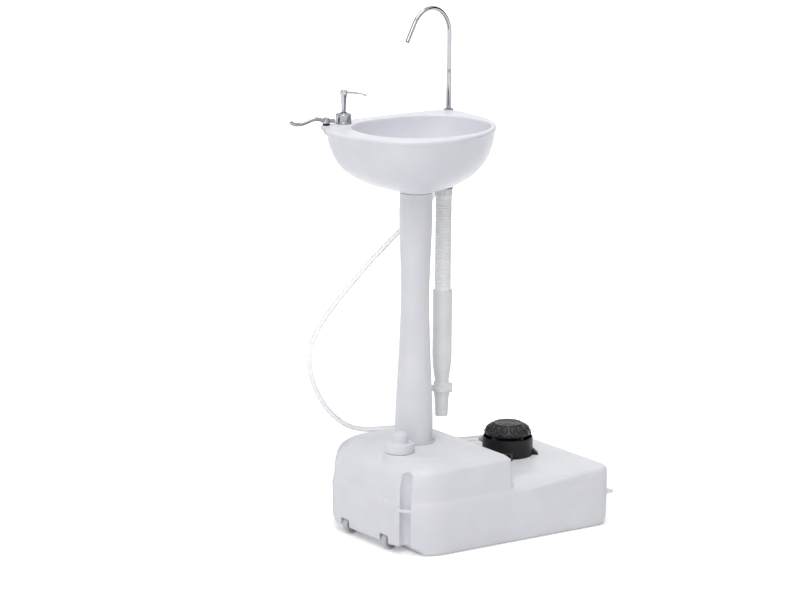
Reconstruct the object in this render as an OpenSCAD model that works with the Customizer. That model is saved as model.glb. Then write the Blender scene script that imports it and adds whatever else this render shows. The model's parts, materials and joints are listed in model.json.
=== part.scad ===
// Portable camp wash stand: a wheeled water tank with a foot pump, a column, and a basin with
// a gooseneck spout, a soap dispenser, a towel bar, a supply hose and a drain hose.
// X runs along the tank towards the pump, Y towards the straight back of the basin, Z up.
// The origin is the centre of the tank's plan, on the floor.

/* [Tank] */
// Length of the tank body
tank_l = 492; // [440:1:560]
// Width of the tank body
tank_w = 335; // [300:1:370]
// Height of the side wall up to the deck's edge
belt_h = 109; // [95:1:125]
// Height of the dome's top, where the column stands
dome_h = 190; // [175:1:215]
// Wall thickness of the tank
tank_wall = 4; // [3:0.5:6]
// Corner radius of the rounded left end, in plan
left_r = 85; // [60:1:110]
// Corner radius of the pump end, in plan
right_r = 35; // [20:1:60]
// Gap between the floor and the raised underside at the wheels
toe_lift = 16; // [8:1:18]

/* [Column] */
// Column axis, from the tank's centre towards the wheels
column_off = 127; // [110:1:140]
// Radius of the column at its foot
foot_r = 37.5; // [33:0.5:42]
// Radius of the column at its waist
waist_r = 28.3; // [23:0.5:32]
// Radius of the column at its neck, under the basin
neck_r = 32.5; // [28:0.5:36]
// Height of the basin's neck, where the column ends
neck_z = 688; // [640:1:720]
// Wall thickness of the column
column_wall = 3; // [2:0.5:5]
// Depth of the socket in the tank
socket_deep = 52; // [40:1:60]

/* [Basin] */
// Height of the rim over the neck
basin_h = 129; // [120:1:160]
// Reach of the rim towards the pump end
rim_right = 180; // [160:1:195]
// Reach of the rim towards the wheel end
rim_left = 175; // [160:1:195]
// Reach of the rim to the front
rim_front = 148; // [135:1:165]
// Reach of the rim to the straight back edge
rim_back = 142; // [134:1:156]
// Thickness of the rim and its ledge
rim_thick = 10; // [8:1:14]

/* [Fittings] */
// Radius of the spout tube
spout_r = 4.25; // [3:0.25:6]
// Bend radius of the gooseneck
spout_bend = 58; // [45:1:70]
// Height of the straight riser over the rim
riser_h = 151; // [120:1:190]
// Radius of the soap dispenser's collar
soap_r = 16; // [14:0.5:19]
// Radius of the towel bar's rod
bar_r = 4; // [2.5:0.25:5]
// Radius of the filler cap's rim
cap_r = 28.5; // [26:0.5:32]
// Bore radius of the filler neck
filler_bore = 17; // [14:0.5:18]

/* [Pump] */
// Radius of the pump's cap
pump_r = 48; // [45:0.5:50]
// Height of the pump's fixed wall
pump_wall_h = 37; // [32:1:42]
// Travel of the pump cap when it is pressed
pump_travel = 14; // [8:1:16]
// Number of ears that hold the pump down
pump_ears_n = 4; // [3:1:6]

/* [Wheels] */
// Wheel radius
wheel_r = 17; // [15:0.5:19]
// Wheel width
wheel_w = 15; // [12:0.5:17]
// Distance from the centre line to the middle of a wheel
wheel_y = 67; // [55:1:80]
// Axle radius
axle_r = 4; // [3:0.25:5]

/* [Hoses] */
// Outer radius of the supply hose
supply_r = 5; // [4:0.5:6]
// Outer radius of the ribbed drain hose
drain_r = 16.5; // [14:0.5:17]
// Number of ribs on the drain hose
drain_ribs = 32; // [16:1:40]
// Length of the ribbed stretch
ribbed_l = 190; // [150:1:220]

/* [Hidden] */
$fn = 64;

eps = 0.01;             // overlap between the pieces of one cut
slice_t = 0.5;          // thickness of a slice in a rounded shape
run_gap = 0.05;         // radial clearance of a running fit
loose_gap = 0.3;        // clearance between pieces that are slid together
white = "whitesmoke";
chrome = "silver";
black = "dimgray";

// places, in plan
column_x = -column_off;
pump_x = tank_l/2 - 131;
pump_y = 15;
slide_gap = 0.5;        // clearance of the pump's cap in its fixed wall
pump_wall = 2.1;
wall_r = pump_r + slide_gap + pump_wall;        // radius of the fixed wall
ear_out = 11.4;         // how far an ear stands out from the fixed wall
ear_turn = -35;         // direction of the first ear, in plan
filler_x = column_x - 67;
filler_y = -48;
rim_z = neck_z + basin_h;
spout_x = column_x + rim_right - 15;
spout_y = rim_back - 18;
shank_len = 62;
shank_bottom = rim_z - shank_len;
soap_x = column_x - 99;
soap_y = rim_back - 36;
ear_x = column_x - 130;
ear_y = rim_back - 40;
ear_r = 22;
bolt_x = ear_x - 9;
bolt_y = ear_y + 5;
drain_x = column_x + 70;
drain_y = 5;
wheel_x = wheel_r - tank_l/2;
wheel_z = wheel_r + 1;

// rounded plan of the tank: inset_l at the wheel end, inset_y at the sides, inset_r at the other end
function corner(cx, cy, r, a0, steps) = [for (i = [0:steps]) let (a = a0 + 90*i/steps)
    [cx + r*cos(a), cy + r*sin(a)]];
function plan(x0, x1, half, rl, rr) = concat(
    corner(x1 - rr, half - rr, rr, 0, 8), corner(x0 + rl, half - rl, rl, 90, 12),
    corner(x0 + rl, rl - half, rl, 180, 12), corner(x1 - rr, rr - half, rr, 270, 8));

module tank_slice(z, inset_l, inset_y, inset_r, x_end, r_end)
    translate([0, 0, z])
        linear_extrude(slice_t)
            polygon(plan(inset_l - tank_l/2, x_end - inset_r, tank_w/2 - inset_y,
                max(left_r - max(inset_l, inset_y), 12), max(r_end - inset_r, 8)));

// Each row: height as a share of the belt, then the inset
slab_rows = [[0, 8], [0.035, 4.5], [0.10, 2.5], [0.25, 0.5], [0.6, 0], [0.9, 0.5], [0.965, 2.5], [1, 6]];
// Each row: rise over the belt, then the insets at the wheel end, the sides and the pump end
crown_rows = [[7.5, 40, 14, 10], [12.5, 60, 24, 18], [14.3, 80, 38, 30]];
// the deck's edge climbs towards the pump end
end_rows = [[-8, 260, 0, 0], [4, 400, 1, 1], [8, 410, 3.5, 3.5], [11, 420, 9, 9]];

module crown(rows, w)
    for (row = rows)
        tank_slice(belt_h + row[0] - w, row[1] + w, row[2] + w, row[3] + w, tank_l/2, right_r);

module slab(w)
{
    hull()
    {
        for (row = slab_rows)
        {
            z = w + row[0]*(belt_h - 2*w - slice_t);
            tank_slice(z, row[1] + w, row[1] + w, row[1] + w, tank_l/2, right_r);
        }
        crown(crown_rows, w);
    }
    hull()
    {
        crown(end_rows, w);
        crown([crown_rows[2]], w);
    }
}

// Each row: height over the belt as a share of the dome's rise, inset at the wheel end, sides, step
dome_rows = [[-0.06, 2.5, 4, 0], [0.33, 4, 6, 1], [0.54, 8.5, 9, 2], [0.65, 32, 18, 5], [0.75, 54, 38, 16],
    [0.84, 84, 64, 40]];
crest_rows = [[0.7, 120, 11, 2], [0.76, 120, 28, 4]];     // fuller behind the column's foot
// the same round the filler
shoulder_rows = [[0.65, 13, 12, 0], [0.75, 22, 21, 0], [0.85, 34, 35, 0], [0.95, 52, 56, 0]];
dome_end_r = 14;        // corner radius of the step, in plan
shoulder_end_r = 30;    // corner radius of the shoulder, under the column
step_x = 4;             // place of the dome's step along X
dome_top_r = 58;        // flat round the column

module dome_slices(rows, w, x_end, r_end)
    for (row = rows)
        tank_slice(belt_h + row[0]*(dome_h - belt_h) - w, row[1] + w, row[2] + w, row[3] + w, x_end, r_end);

module dome(w)
    hull()
    {
        dome_slices(concat(dome_rows, crest_rows), w, step_x, dome_end_r);
        dome_slices(shoulder_rows, w, column_x, shoulder_end_r);
        translate([column_x, 0, dome_h - w - slice_t])
            cylinder(r = dome_top_r - w, h = slice_t);
    }

// slope behind the pump, from the dome down to the deck
ramp_y = [pump_y + wall_r + ear_out + 9, 158];
ramp_points = [[-30, -6], [-30, 50], [0, 48], [26, 38], [60, 20], [90, 14], [140, 3], [140, -6]];
module ramp(w)
    translate([0, ramp_y[1] - w, belt_h - w])
        rotate([90, 0, 0])
            linear_extrude(ramp_y[1] - ramp_y[0] - 2*w)
                polygon(ramp_points);

// channel in which the supply hose leaves the deck
channel_a = [44, 139, belt_h + 34.5];
channel_b = [-62, 143, dome_h - 16];
channel_r = 9;
channel_over = 34;      // how far it runs on past its upper end
channel_v = channel_b - channel_a;
channel_plan = norm([channel_v.x, channel_v.y]);
module hose_channel(grow)
    translate(channel_a)
        rotate([0, 0, atan2(channel_v.y, channel_v.x)])
            rotate([0, -atan2(channel_v.z, channel_plan), 0])
                translate([-12, 0, 0])
                {
                    rotate([0, 90, 0])
                        cylinder(r = channel_r + grow, h = norm(channel_v) + 12 + channel_over);
                    translate([0, -channel_r - grow, 0])
                        cube([norm(channel_v) + 12 + channel_over, 2*(channel_r + grow), 60]);
                }

// strap groove in a rounded corner, with a web across it
groove_r = 11.5;        // half width of the groove
groove_deep = 21.5;     // depth of the groove
groove_turn = 32;       // how far the groove lies round the corner
groove_top = 0.56;      // top of the groove, as a share of the dome's rise
groove_in = 12;         // how far the groove's own arc starts inside the corner's centre
groove_wall = groove_in*(cos(groove_turn) + sin(groove_turn))
    + sqrt(left_r*left_r - pow(groove_in*(cos(groove_turn) - sin(groove_turn)), 2));     // out to the wall
web_z = belt_h - 22;             // height of the web's underside
web_t = 5;              // thickness of the web
web_wide = 5.5;         // width of the web's bar
module at_groove(side)
    translate([left_r + groove_in - tank_l/2, side*(tank_w/2 - left_r - groove_in), 0])
        rotate([0, 0, side*(180 - groove_turn)])
            children();

module groove_cut(side, grow)
{
    top = belt_h + groove_top*(dome_h - belt_h);
    at_groove(side)
        translate([groove_wall - groove_deep + groove_r, 0, -1])
        {
            cylinder(r = groove_r + grow, h = top + 1);
            translate([0, 0, top + 1])
                sphere(r = groove_r + grow);
            translate([0, -groove_r - grow, 0])
                cube([groove_deep + 10, 2*(groove_r + grow), top + 1]);
            translate([0, 0, top + 1])
                rotate([0, 90, 0])
                    cylinder(r = groove_r + grow, h = groove_deep + 10);
        }
}

module strap_web(side)
    at_groove(side)
        translate([groove_wall + 0.5 - web_wide, -groove_r - 1, web_z])
            cube([web_wide, 2*groove_r + 2, web_t]);

// plain lug at a corner of the pump end
lug_turn = 37;
lug_out = 12.5;         // how far the lug stands out
lug_z = 64;
lug_t = 5;
lug_wide = 22;
module strap_lug(side)
    translate([tank_l/2 - right_r, side*(tank_w/2 - right_r), lug_z])
        rotate([0, 0, side*lug_turn])
            translate([right_r - tank_wall, -lug_wide/2, 0])
                cube([tank_wall + lug_out - 6, lug_wide, lug_t]);

module lug_tip(side)
    translate([tank_l/2 - right_r, side*(tank_w/2 - right_r), lug_z])
        rotate([0, 0, side*lug_turn])
            translate([right_r + lug_out - 6, 0, 0])
                intersection()
                {
                    scale_disc(6, lug_wide/2, lug_t);
                    translate([-1, -lug_wide, 0])
                        cube([2*lug_wide, 2*lug_wide, lug_t]);
                }
module scale_disc(reach, half, t)
{
    arc_r = (half*half + reach*reach)/(2*reach);
    translate([reach - arc_r, 0, 0])
        cylinder(r = arc_r, h = t);
}

// wheel pockets, open through the end wall, and axle groove under the raised end
pocket_w = wheel_w + 14;
pocket_r = wheel_r + 2.5;
axle_len = 2*wheel_y + wheel_w + 30;
toe_end = tank_l/2 - 44; // the underside is raised from here to the wheel end
toe_slope = 15;         // length of the slope up to the raised underside
module wheel_pockets(grow)
{
    for (side = [-1, 1])
    {
        translate([wheel_x, side*wheel_y + pocket_w/2 + grow, wheel_z])
            rotate([90, 0, 0])
                cylinder(r = pocket_r + grow, h = pocket_w + 2*grow);
        translate([wheel_x - pocket_r - grow, side*wheel_y - pocket_w/2 - grow, -1])
            cube([2*(pocket_r + grow), pocket_w + 2*grow, wheel_z + 1]);
    }
    translate([wheel_x, axle_len/2 + 1 + grow, wheel_z])
        rotate([90, 0, 0])
            cylinder(r = axle_r + run_gap + grow, h = axle_len + 2 + 2*grow);
    translate([wheel_x - axle_r - run_gap - grow, -axle_len/2 - 1 - grow, -1])
        cube([2*(axle_r + run_gap + grow), axle_len + 2 + 2*grow, wheel_z + 1]);
}

module raised_toe(grow)
    translate([0, tank_w, 0])
        rotate([90, 0, 0])
            linear_extrude(2*tank_w)
                polygon([[-tank_l/2 - 1, -1], [grow - toe_end, -1], [grow - toe_end, 0],
                    [grow - toe_end - toe_slope, toe_lift + grow], [-tank_l/2 - 1, toe_lift + grow]]);

// pump port
pump_seat_z = belt_h + 15;
port_r = 32;            // radius of the hole that the pump's barrel goes down
boss_t = 9;             // thickness of the moulded boss round the port
boss_wide = 8;          // how much wider the boss is at the deck than at its seat
seat_r = wall_r + ear_out + 3;
screw_ring = wall_r + ear_out/2;       // radius of the circle of screws, one to an ear
screw_r = 2;
pump_gasket_t = 2;
pump_gasket_r = wall_r - 6;
module at_ears()
    for (i = [0:pump_ears_n - 1])
        translate([pump_x, pump_y, 0])
            rotate([0, 0, ear_turn + 360*i/pump_ears_n])
                children();
module at_screws()
    at_ears()
        translate([screw_ring, 0, 0])
            children();

// filler neck
filler_seat_z = dome_h - 4;
filler_neck_h = 14;
filler_neck_r = filler_bore + 4;
socket_r = foot_r + loose_gap + 1;
socket_z = dome_h - socket_deep;
seal_r = foot_r + 5;
seal_h = 4;

module tank_shell()
    color(white)
        difference()
        {
            union()
            {
                difference()
                {
                    union()
                    {
                        slab(0);
                        dome(0);
                        ramp(0);
                        translate([pump_x, pump_y, belt_h - 2])
                            cylinder(r1 = seat_r + boss_wide, r2 = seat_r, h = pump_seat_z - belt_h + 2);
                        translate([filler_x, filler_y, filler_seat_z - 25])
                            cylinder(r1 = cap_r + 6, r2 = cap_r + 1, h = 25);
                    }
                    difference()
                    {
                        union()
                        {
                            slab(tank_wall);
                            dome(tank_wall);
                        }
                        translate([column_x, 0, socket_z - tank_wall])
                            cylinder(r = socket_r + tank_wall, h = dome_h);
                        translate([pump_x, pump_y, pump_seat_z - boss_t])
                            cylinder(r = seat_r, h = boss_t + 20);
                        translate([filler_x, filler_y, filler_seat_z - tank_wall])
                            cylinder(r = cap_r + 1 + tank_wall, h = 60);
                        for (side = [-1, 1])
                            groove_cut(side, tank_wall);
                        wheel_pockets(tank_wall);
                        raised_toe(tank_wall);
                        hose_channel(tank_wall);
                    }
                    for (side = [-1, 1])
                        groove_cut(side, 0);
                    hose_channel(0);
                    translate([filler_x, filler_y, filler_seat_z])
                        cylinder(r = cap_r + 1, h = 60);
                }
                for (side = [-1, 1])
                {
                    strap_web(side);
                    strap_lug(side);
                    lug_tip(side);
                }
                translate([filler_x, filler_y, filler_seat_z - 1])
                    cylinder(r = filler_neck_r, h = filler_neck_h + 1);
            }
            translate([pump_x, pump_y, pump_seat_z - pump_gasket_t])
                cylinder(r = pump_gasket_r + 0.2, h = pump_gasket_t + 20);
            wheel_pockets(0);
            raised_toe(0);
            translate([column_x, 0, socket_z])
                cylinder(r = socket_r, h = dome_h);
            translate([column_x, 0, dome_h - seal_h])
                cylinder(r = seal_r, h = dome_h);
            translate([pump_x, pump_y, pump_seat_z - boss_t - 10])
                cylinder(r = port_r, h = boss_t + 20);
            at_screws()
                translate([0, 0, pump_seat_z - boss_t - 1])
                    cylinder(r = screw_r + run_gap, h = boss_t + 2, $fn = 24);
            translate([filler_x, filler_y, dome_h - 60])
                cylinder(r = filler_bore, h = 90);
        }

module along_y(x, z, y0, y1, r)
    translate([x, y1, z])
        rotate([90, 0, 0])
            cylinder(r = r, h = y1 - y0);

module axle()
    color(chrome)
        along_y(wheel_x, wheel_z, -axle_len/2, axle_len/2, axle_r);

cap_len = 5;            // length of a push cap on the axle, beside its wheel
module axle_caps()
    color(chrome)
        for (side = [-1, 1])
        {
            cap_y = side*(wheel_y + wheel_w/2 + 1 + cap_len/2);
            difference()
            {
                along_y(wheel_x, wheel_z, cap_y - cap_len/2, cap_y + cap_len/2, axle_r + 3);
                along_y(wheel_x, wheel_z, -axle_len, axle_len, axle_r);
            }
        }

module wheel(side)
    color("gainsboro")
        translate([wheel_x, side*wheel_y, wheel_z])
            rotate([90, 0, 0])
                rotate_extrude()
                    polygon([[axle_r + run_gap, -wheel_w/2], [axle_r + 5, -wheel_w/2],
                        [axle_r + 6, -wheel_w/2 + 3], [wheel_r - 5, -wheel_w/2 + 3],
                        [wheel_r - 4, -wheel_w/2], [wheel_r - 1.5, -wheel_w/2],
                        [wheel_r, -wheel_w/2 + 2], [wheel_r, wheel_w/2 - 2], [wheel_r - 1.5, wheel_w/2],
                        [wheel_r - 4, wheel_w/2], [wheel_r - 5, wheel_w/2 - 3], [axle_r + 6, wheel_w/2 - 3],
                        [axle_r + 5, wheel_w/2], [axle_r + run_gap, wheel_w/2]]);

// filler cap and its gasket
neck_top = filler_seat_z + filler_neck_h;
gasket_t = 1.2;
cap_plate = 3;
knob_r = 15.5;
knob_h = 22;
module filler_gasket()
    color(black)
        translate([filler_x, filler_y, neck_top])
            ring(filler_neck_r - 0.2, filler_bore + 0.2, gasket_t);

module ring(r_out, r_in, h)
    difference()
    {
        cylinder(r = r_out, h = h);
        translate([0, 0, -1])
            cylinder(r = r_in, h = h + 2);
    }

module filler_cap()
{
    under = neck_top + gasket_t;
    skirt = under - filler_seat_z - 1;
    color(white)
        translate([filler_x, filler_y, under])
        {
            translate([0, 0, -skirt])
                ring(cap_r, filler_neck_r + 2*loose_gap, skirt + eps);
            rotate_extrude()
                polygon([[0, 0], [cap_r, 0], [cap_r, cap_plate - 1], [cap_r - 1, cap_plate],
                    [knob_r + 1.5, cap_plate], [knob_r, cap_plate + 1.5],
                    [knob_r - 0.5, cap_plate + knob_h - 3],
                    [knob_r - 3, cap_plate + knob_h], [0, cap_plate + knob_h]]);
        }
}

// column: height as a share of its visible length, and the radius there
plug_r = neck_r - column_wall;
plug_h = 18;
column_foot_z = socket_z + 0.5;
shown = neck_z - dome_h;
waist_t = 0.6;          // height of the waist
neck_t = 0.92;          // height where the neck begins
function column_radius(t) = t < waist_t
    ? waist_r + (foot_r - waist_r)*(1 + cos(180*t/waist_t))/2
    : waist_r + (neck_r - waist_r)*(1 - cos(180*min((t - waist_t)/(neck_t - waist_t), 1)))/2;
column_steps = 14;
function column_side(off) = [for (i = [0:column_steps])
    [column_radius(i/column_steps) - off, dome_h + shown*i/column_steps]];
function reversed(v) = [for (i = [len(v) - 1:-1:0]) v[i]];

module column()
    color(white)
        translate([column_x, 0, 0])
            rotate_extrude()
                polygon(concat([[foot_r, column_foot_z]], column_side(0),
                    [[plug_r, neck_z], [plug_r, neck_z + plug_h], [plug_r - column_wall, neck_z + plug_h]],
                    reversed(column_side(2*column_wall)), [[foot_r - 2*column_wall, column_foot_z]]));

module column_seal()
    color(black)
        translate([column_x, 0, dome_h - seal_h])
            ring(seal_r - 0.1, foot_r + 0.1, seal_h + 1);

// foot pump: a cup with a fixed wall and ears, a spring and bellows inside, and a cap that slides in the wall
base_z = pump_seat_z;
floor_t = 4;            // thickness of the cup's floor
floor_top = base_z + floor_t;
base_top = base_z + pump_wall_h;
rim_gap = 5;            // open height between the fixed wall and the cap's edge
cap_z = base_top + rim_gap;
pump_cap_h = 23;
barrel_r = port_r - 1;
chamber_r = 20;
spigot_r = 5;
spigot_bore = 3.5;
spigot_z = pump_seat_z - 36;
valve_bore = 12;
valve_seat_z = spigot_z + 24;

module at_pump()
    translate([pump_x, pump_y, 0])
        children();

module pump_gasket()
    color(black)
        at_pump()
            translate([0, 0, pump_seat_z - pump_gasket_t])
                ring(pump_gasket_r, port_r + 0.5, pump_gasket_t);

barb_turn = 99;         // direction of the outlet: back, to the foot of the ramp
barb_dir = [cos(barb_turn), sin(barb_turn)];
barb_z = base_z + 17;
barb_bore = 2.5;
barb_shank_r = 4.5;
hose_start = wall_r + 14.4;     // the supply hose begins this far from the pump's axis
passage_r = 1.4;        // water passage in the cup's floor
duct_wide = 13;         // width of the block that leads up to the outlet
duct_in = 14;           // depth of that block from the wall's outside
module along_barb(d0, d1, r)
    translate([pump_x + barb_dir.x*d0, pump_y + barb_dir.y*d0, barb_z])
        rotate([0, 90, barb_turn])
            cylinder(r = r, h = d1 - d0);

// an ear is a part of a cone round the wall
ear_wide = 18;
ear_high = 13;          // height of the ear where it leaves the wall
ear_edge = 1.2;         // height of the ear at its outer edge
screw_seat_z = base_z + 4;
screw_head_r = 3.6;
screw_head_h = 2.4;
module pump_ears()
    intersection()
    {
        at_pump()
            translate([0, 0, base_z])
                rotate_extrude()
                    polygon([[wall_r - 1, 0], [wall_r + ear_out, 0], [wall_r + ear_out, ear_edge],
                        [wall_r, ear_high], [wall_r - 1, ear_high]]);
        at_ears()
            translate([wall_r - 3, -ear_wide/2, base_z - 1])
                cube([ear_out + 6, ear_wide, ear_high + 2]);
    }

module pump_base()
    color(black)
        difference()
        {
            union()
            {
                at_pump()
                    rotate_extrude()
                        polygon([[spigot_bore, spigot_z], [spigot_r, spigot_z], [spigot_r, spigot_z + 18],
                            [chamber_r, spigot_z + 18], [barrel_r, base_z - 4], [barrel_r, base_z],
                            [wall_r, base_z], [wall_r, base_top - 6], [wall_r - 0.6, base_top - 0.6],
                            [wall_r - 1, base_top], [wall_r - pump_wall, base_top],
                            [wall_r - pump_wall, floor_top], [spigot_bore, floor_top]]);
                pump_ears();
                at_pump()
                    rotate([0, 0, barb_turn])
                        translate([wall_r - duct_in, -duct_wide/2, floor_top - 1])
                            cube([duct_in - 1, duct_wide, barb_z + 6 - floor_top]);
            }
            at_pump()
                translate([0, 0, valve_seat_z])
                    cylinder(r = valve_bore, h = base_z);
            at_pump()
                translate([0, 0, spigot_z - 1])
                    cylinder(r = spigot_bore, h = 100);
            at_screws()
            {
                translate([0, 0, base_z - 1])
                    cylinder(r = screw_r + loose_gap, h = 20, $fn = 24);
                translate([0, 0, screw_seat_z])
                    cylinder(r = screw_head_r + 1, h = 20, $fn = 24);
            }
            along_barb(wall_r - 8, wall_r + 2, barb_shank_r);
            at_pump()
                rotate([0, 0, barb_turn])
                {
                    translate([valve_bore - 4, 0, base_z + 2])
                        rotate([0, 90, 0])
                            cylinder(r = passage_r, h = wall_r - valve_bore - 4, $fn = 24);
                    translate([wall_r - 9, 0, base_z + 2])
                        cylinder(r = passage_r, h = barb_z - base_z - 2, $fn = 24);
                }
        }

module pump_screws()
    color(black)
        at_screws()
        {
            translate([0, 0, pump_seat_z - boss_t + 1])
                cylinder(r = screw_r, h = screw_seat_z - pump_seat_z + boss_t - 1 + eps, $fn = 24);
            translate([0, 0, screw_seat_z])
                cylinder(r1 = screw_head_r, r2 = screw_head_r - 1, h = screw_head_h, $fn = 24);
        }

// bellows: a soft folded wall between the cup's floor and the cap
bellows_r = 33;
bellows_t = 1.6;
folds = 4;
fold_deep = 3.5;
bellows_top = cap_z + 12.2;
fold_h = (bellows_top - floor_top)/folds;
function fold_line(off) = [for (i = [0:2*folds])
    [bellows_r - (i % 2)*fold_deep - off, floor_top + i*fold_h/2]];
module pump_bellows()
    color(black)
        at_pump()
            rotate_extrude()
                polygon(concat(fold_line(0), reversed(fold_line(bellows_t))));

spring_r = 16;
pump_cap_t = 4;         // thickness of the cap's top
module pump_spring()
    color(chrome)
        at_pump()
            translate([0, 0, floor_top])
                ring(spring_r, spring_r - 3, cap_z + pump_cap_h - pump_cap_t - floor_top - loose_gap);

// cap: lobes round its lower edge and petals down its flank
cap_top_r = 28;
cap_shoulder = 7.6;     // height of the cap's straight edge
lobes = 16;
lobe_r = 4;
module pump_cap()
    color(black)
        at_pump()
            difference()
            {
                union()
                {
                    translate([0, 0, cap_z])
                        rotate_extrude()
                            polygon([[0, 0], [pump_r - 2, 0], [pump_r - 1.5, 1], [pump_r - 2, cap_shoulder],
                                [cap_top_r + 3, pump_cap_h - 3], [cap_top_r, pump_cap_h], [0, pump_cap_h]]);
                    for (i = [0:lobes - 1])
                        rotate([0, 0, 360*i/lobes])
                        {
                            translate([pump_r - lobe_r, 0, cap_z])
                                cylinder(r = lobe_r, h = cap_shoulder - 1, $fn = 20);
                            translate([cap_top_r - 2, 0, cap_z + pump_cap_h - 5])
                                cylinder(r = 3, h = 5, $fn = 20);
                        }
                }
                translate([0, 0, cap_z])
                    rotate_extrude()
                        polygon([[0, -1], [pump_r - 4.5, -1], [pump_r - 4.5, cap_shoulder - 0.6],
                            [bellows_r + 2, 12.5], [bellows_r - 6, 12.5],
                            [cap_top_r - 6, pump_cap_h - pump_cap_t], [0, pump_cap_h - pump_cap_t]]);
            }

// rubber valves: a thin head on a short stem
module mushroom(head_r)
    rotate_extrude()
        polygon([[0, -4], [1.2, -4], [1.2, 0], [head_r, 0], [head_r - 0.5, 0.8], [1.5, 2], [0, 2]]);

module inlet_valve()
    color(black)
        at_pump()
            translate([0, 0, valve_seat_z + 0.1])
                mushroom(valve_bore - 2);

module outlet_barb()
    color(white)
        difference()
        {
            union()
            {
                along_barb(wall_r - 7, wall_r + 1, barb_shank_r - run_gap);
                along_barb(wall_r + 0.3, wall_r + 6, 7);
                along_barb(wall_r + 5, hose_start - 4, 5.5);
                along_barb(hose_start - 5, hose_start, 3.5);
            }
            along_barb(wall_r - 8, hose_start + 1, barb_bore);
        }

module outlet_valve()
    color(black)
        along_barb(wall_r - 6, wall_r + 2, barb_bore - 0.1);

suction_foot = tank_wall + 3;
module suction_tube()
    color(white)
        at_pump()
            translate([0, 0, suction_foot + 14])
                ring(spigot_r + 2, spigot_r + run_gap, spigot_z + 16 - suction_foot - 14);

module suction_strainer()
    color(black)
        at_pump()
            difference()
            {
                translate([0, 0, suction_foot])
                    cylinder(r = 14, h = 14);
                translate([0, 0, suction_foot + 2])
                    cylinder(r = 12, h = 10);
                translate([0, 0, suction_foot + 8])
                    cylinder(r = spigot_r - 1, h = 10);
                for (i = [0:7])
                    rotate([0, 0, 45*i])
                        translate([10, -1.5, suction_foot + 3])
                            cube([6, 3, 7]);
            }

// basin: D-shaped rim over a rounded bowl
rim_mid = [-30, 40];    // middle of the rim's curves, from the column's axis
floor_mid = [45, 4];    // middle of the bowl's floor
mouth_mid = [13, -5];   // middle of the bowl's mouth
ledge_w = 20;           // how far the ledge stands out behind the bowl
edge_w = 1.2;           // how far the rim stands out round the rest of the bowl
lip_front = 28;         // width of the rim in front of the mouth
lip_back = 30;          // width of the ledge behind the mouth
lip_side = 43;          // width of the rim beside the mouth
// Each row: height as a share of the basin's height, then the bowl's size as a share of the rim's
bowl_rows = [[0.985, 1], [0.87, 0.985], [0.68, 0.96], [0.48, 0.90], [0.33, 0.80], [0.22, 0.68], [0.135, 0.55],
    [0.08, 0.42], [0.04, 0.30], [0, 0.19]];
hollow_rows = [[1.01, 1], [0.87, 0.98], [0.71, 0.95], [0.56, 0.90], [0.43, 0.83], [0.33, 0.73], [0.25, 0.59],
    [0.20, 0.43], [0.175, 0.27]];

function oval(left, right, front, back) = [for (i = [0:47]) let (a = 7.5*i)
    [(cos(a) < 0 ? left : right)*cos(a), (sin(a) < 0 ? front : back)*sin(a)]];
function signed_power(v, e) = sign(v)*pow(abs(v), e);
function mouth(half, front, back) = [for (i = [0:47]) let (a = 7.5*i) sin(a) < 0
    ? [half*cos(a), front*sin(a)]
    : [half*signed_power(cos(a), 0.8), back*signed_power(sin(a), 0.74)]];

module bowl_slice(z, k)
    translate([column_x + rim_mid.x*k, rim_mid.y*k, z])
        linear_extrude(slice_t)
            polygon(k*oval((rim_left + rim_mid.x - edge_w)*(0.74 + 0.26*k), rim_right - rim_mid.x - edge_w,
                rim_front + rim_mid.y - edge_w, rim_back - rim_mid.y - ledge_w));

module hollow_slice(z, k)
    translate([column_x + mouth_mid.x*k + floor_mid.x*(1 - k), mouth_mid.y*k + floor_mid.y*(1 - k), z])
        linear_extrude(slice_t)
            polygon(k*mouth(rim_right - lip_side, rim_front + mouth_mid.y - lip_front,
                rim_back - mouth_mid.y - lip_back));

corner_r = 20;          // radius of the corner behind the spout
function rim_outline() = concat(
    [for (i = [0:36]) let (a = 180 + 5*i)
        [rim_mid.x + (i < 18 ? rim_left + rim_mid.x : rim_right - rim_mid.x)*cos(a),
            rim_mid.y + (rim_front + rim_mid.y)*sin(a)]],
    [for (i = [0:6]) [rim_right - corner_r + corner_r*cos(15*i), rim_back - corner_r + corner_r*sin(15*i)]],
    [for (i = [0:11]) let (a = 90 + 7.5*i)
        [rim_mid.x + (rim_left + rim_mid.x)*cos(a), rim_mid.y + (rim_back - rim_mid.y)*sin(a)]]);

module basin_rim()
{
    translate([column_x, 0, rim_z - rim_thick])
        linear_extrude(rim_thick)
            polygon(rim_outline());
    translate([ear_x, ear_y, rim_z - rim_thick])
        cylinder(r = ear_r, h = rim_thick);
}

drain_boss_r = 20;
flange_body_r = 13.5;
floor_lip_r = 24.7;     // radius of the drain flange on the bowl's floor
floor_z = neck_z + 0.175*basin_h;
boss_z = neck_z + 3;    // underside of the drain boss
flange_lip = 3;
shank_r = 7;
towel_hole_r = 3;
soap_neck_r = 12.5;

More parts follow.
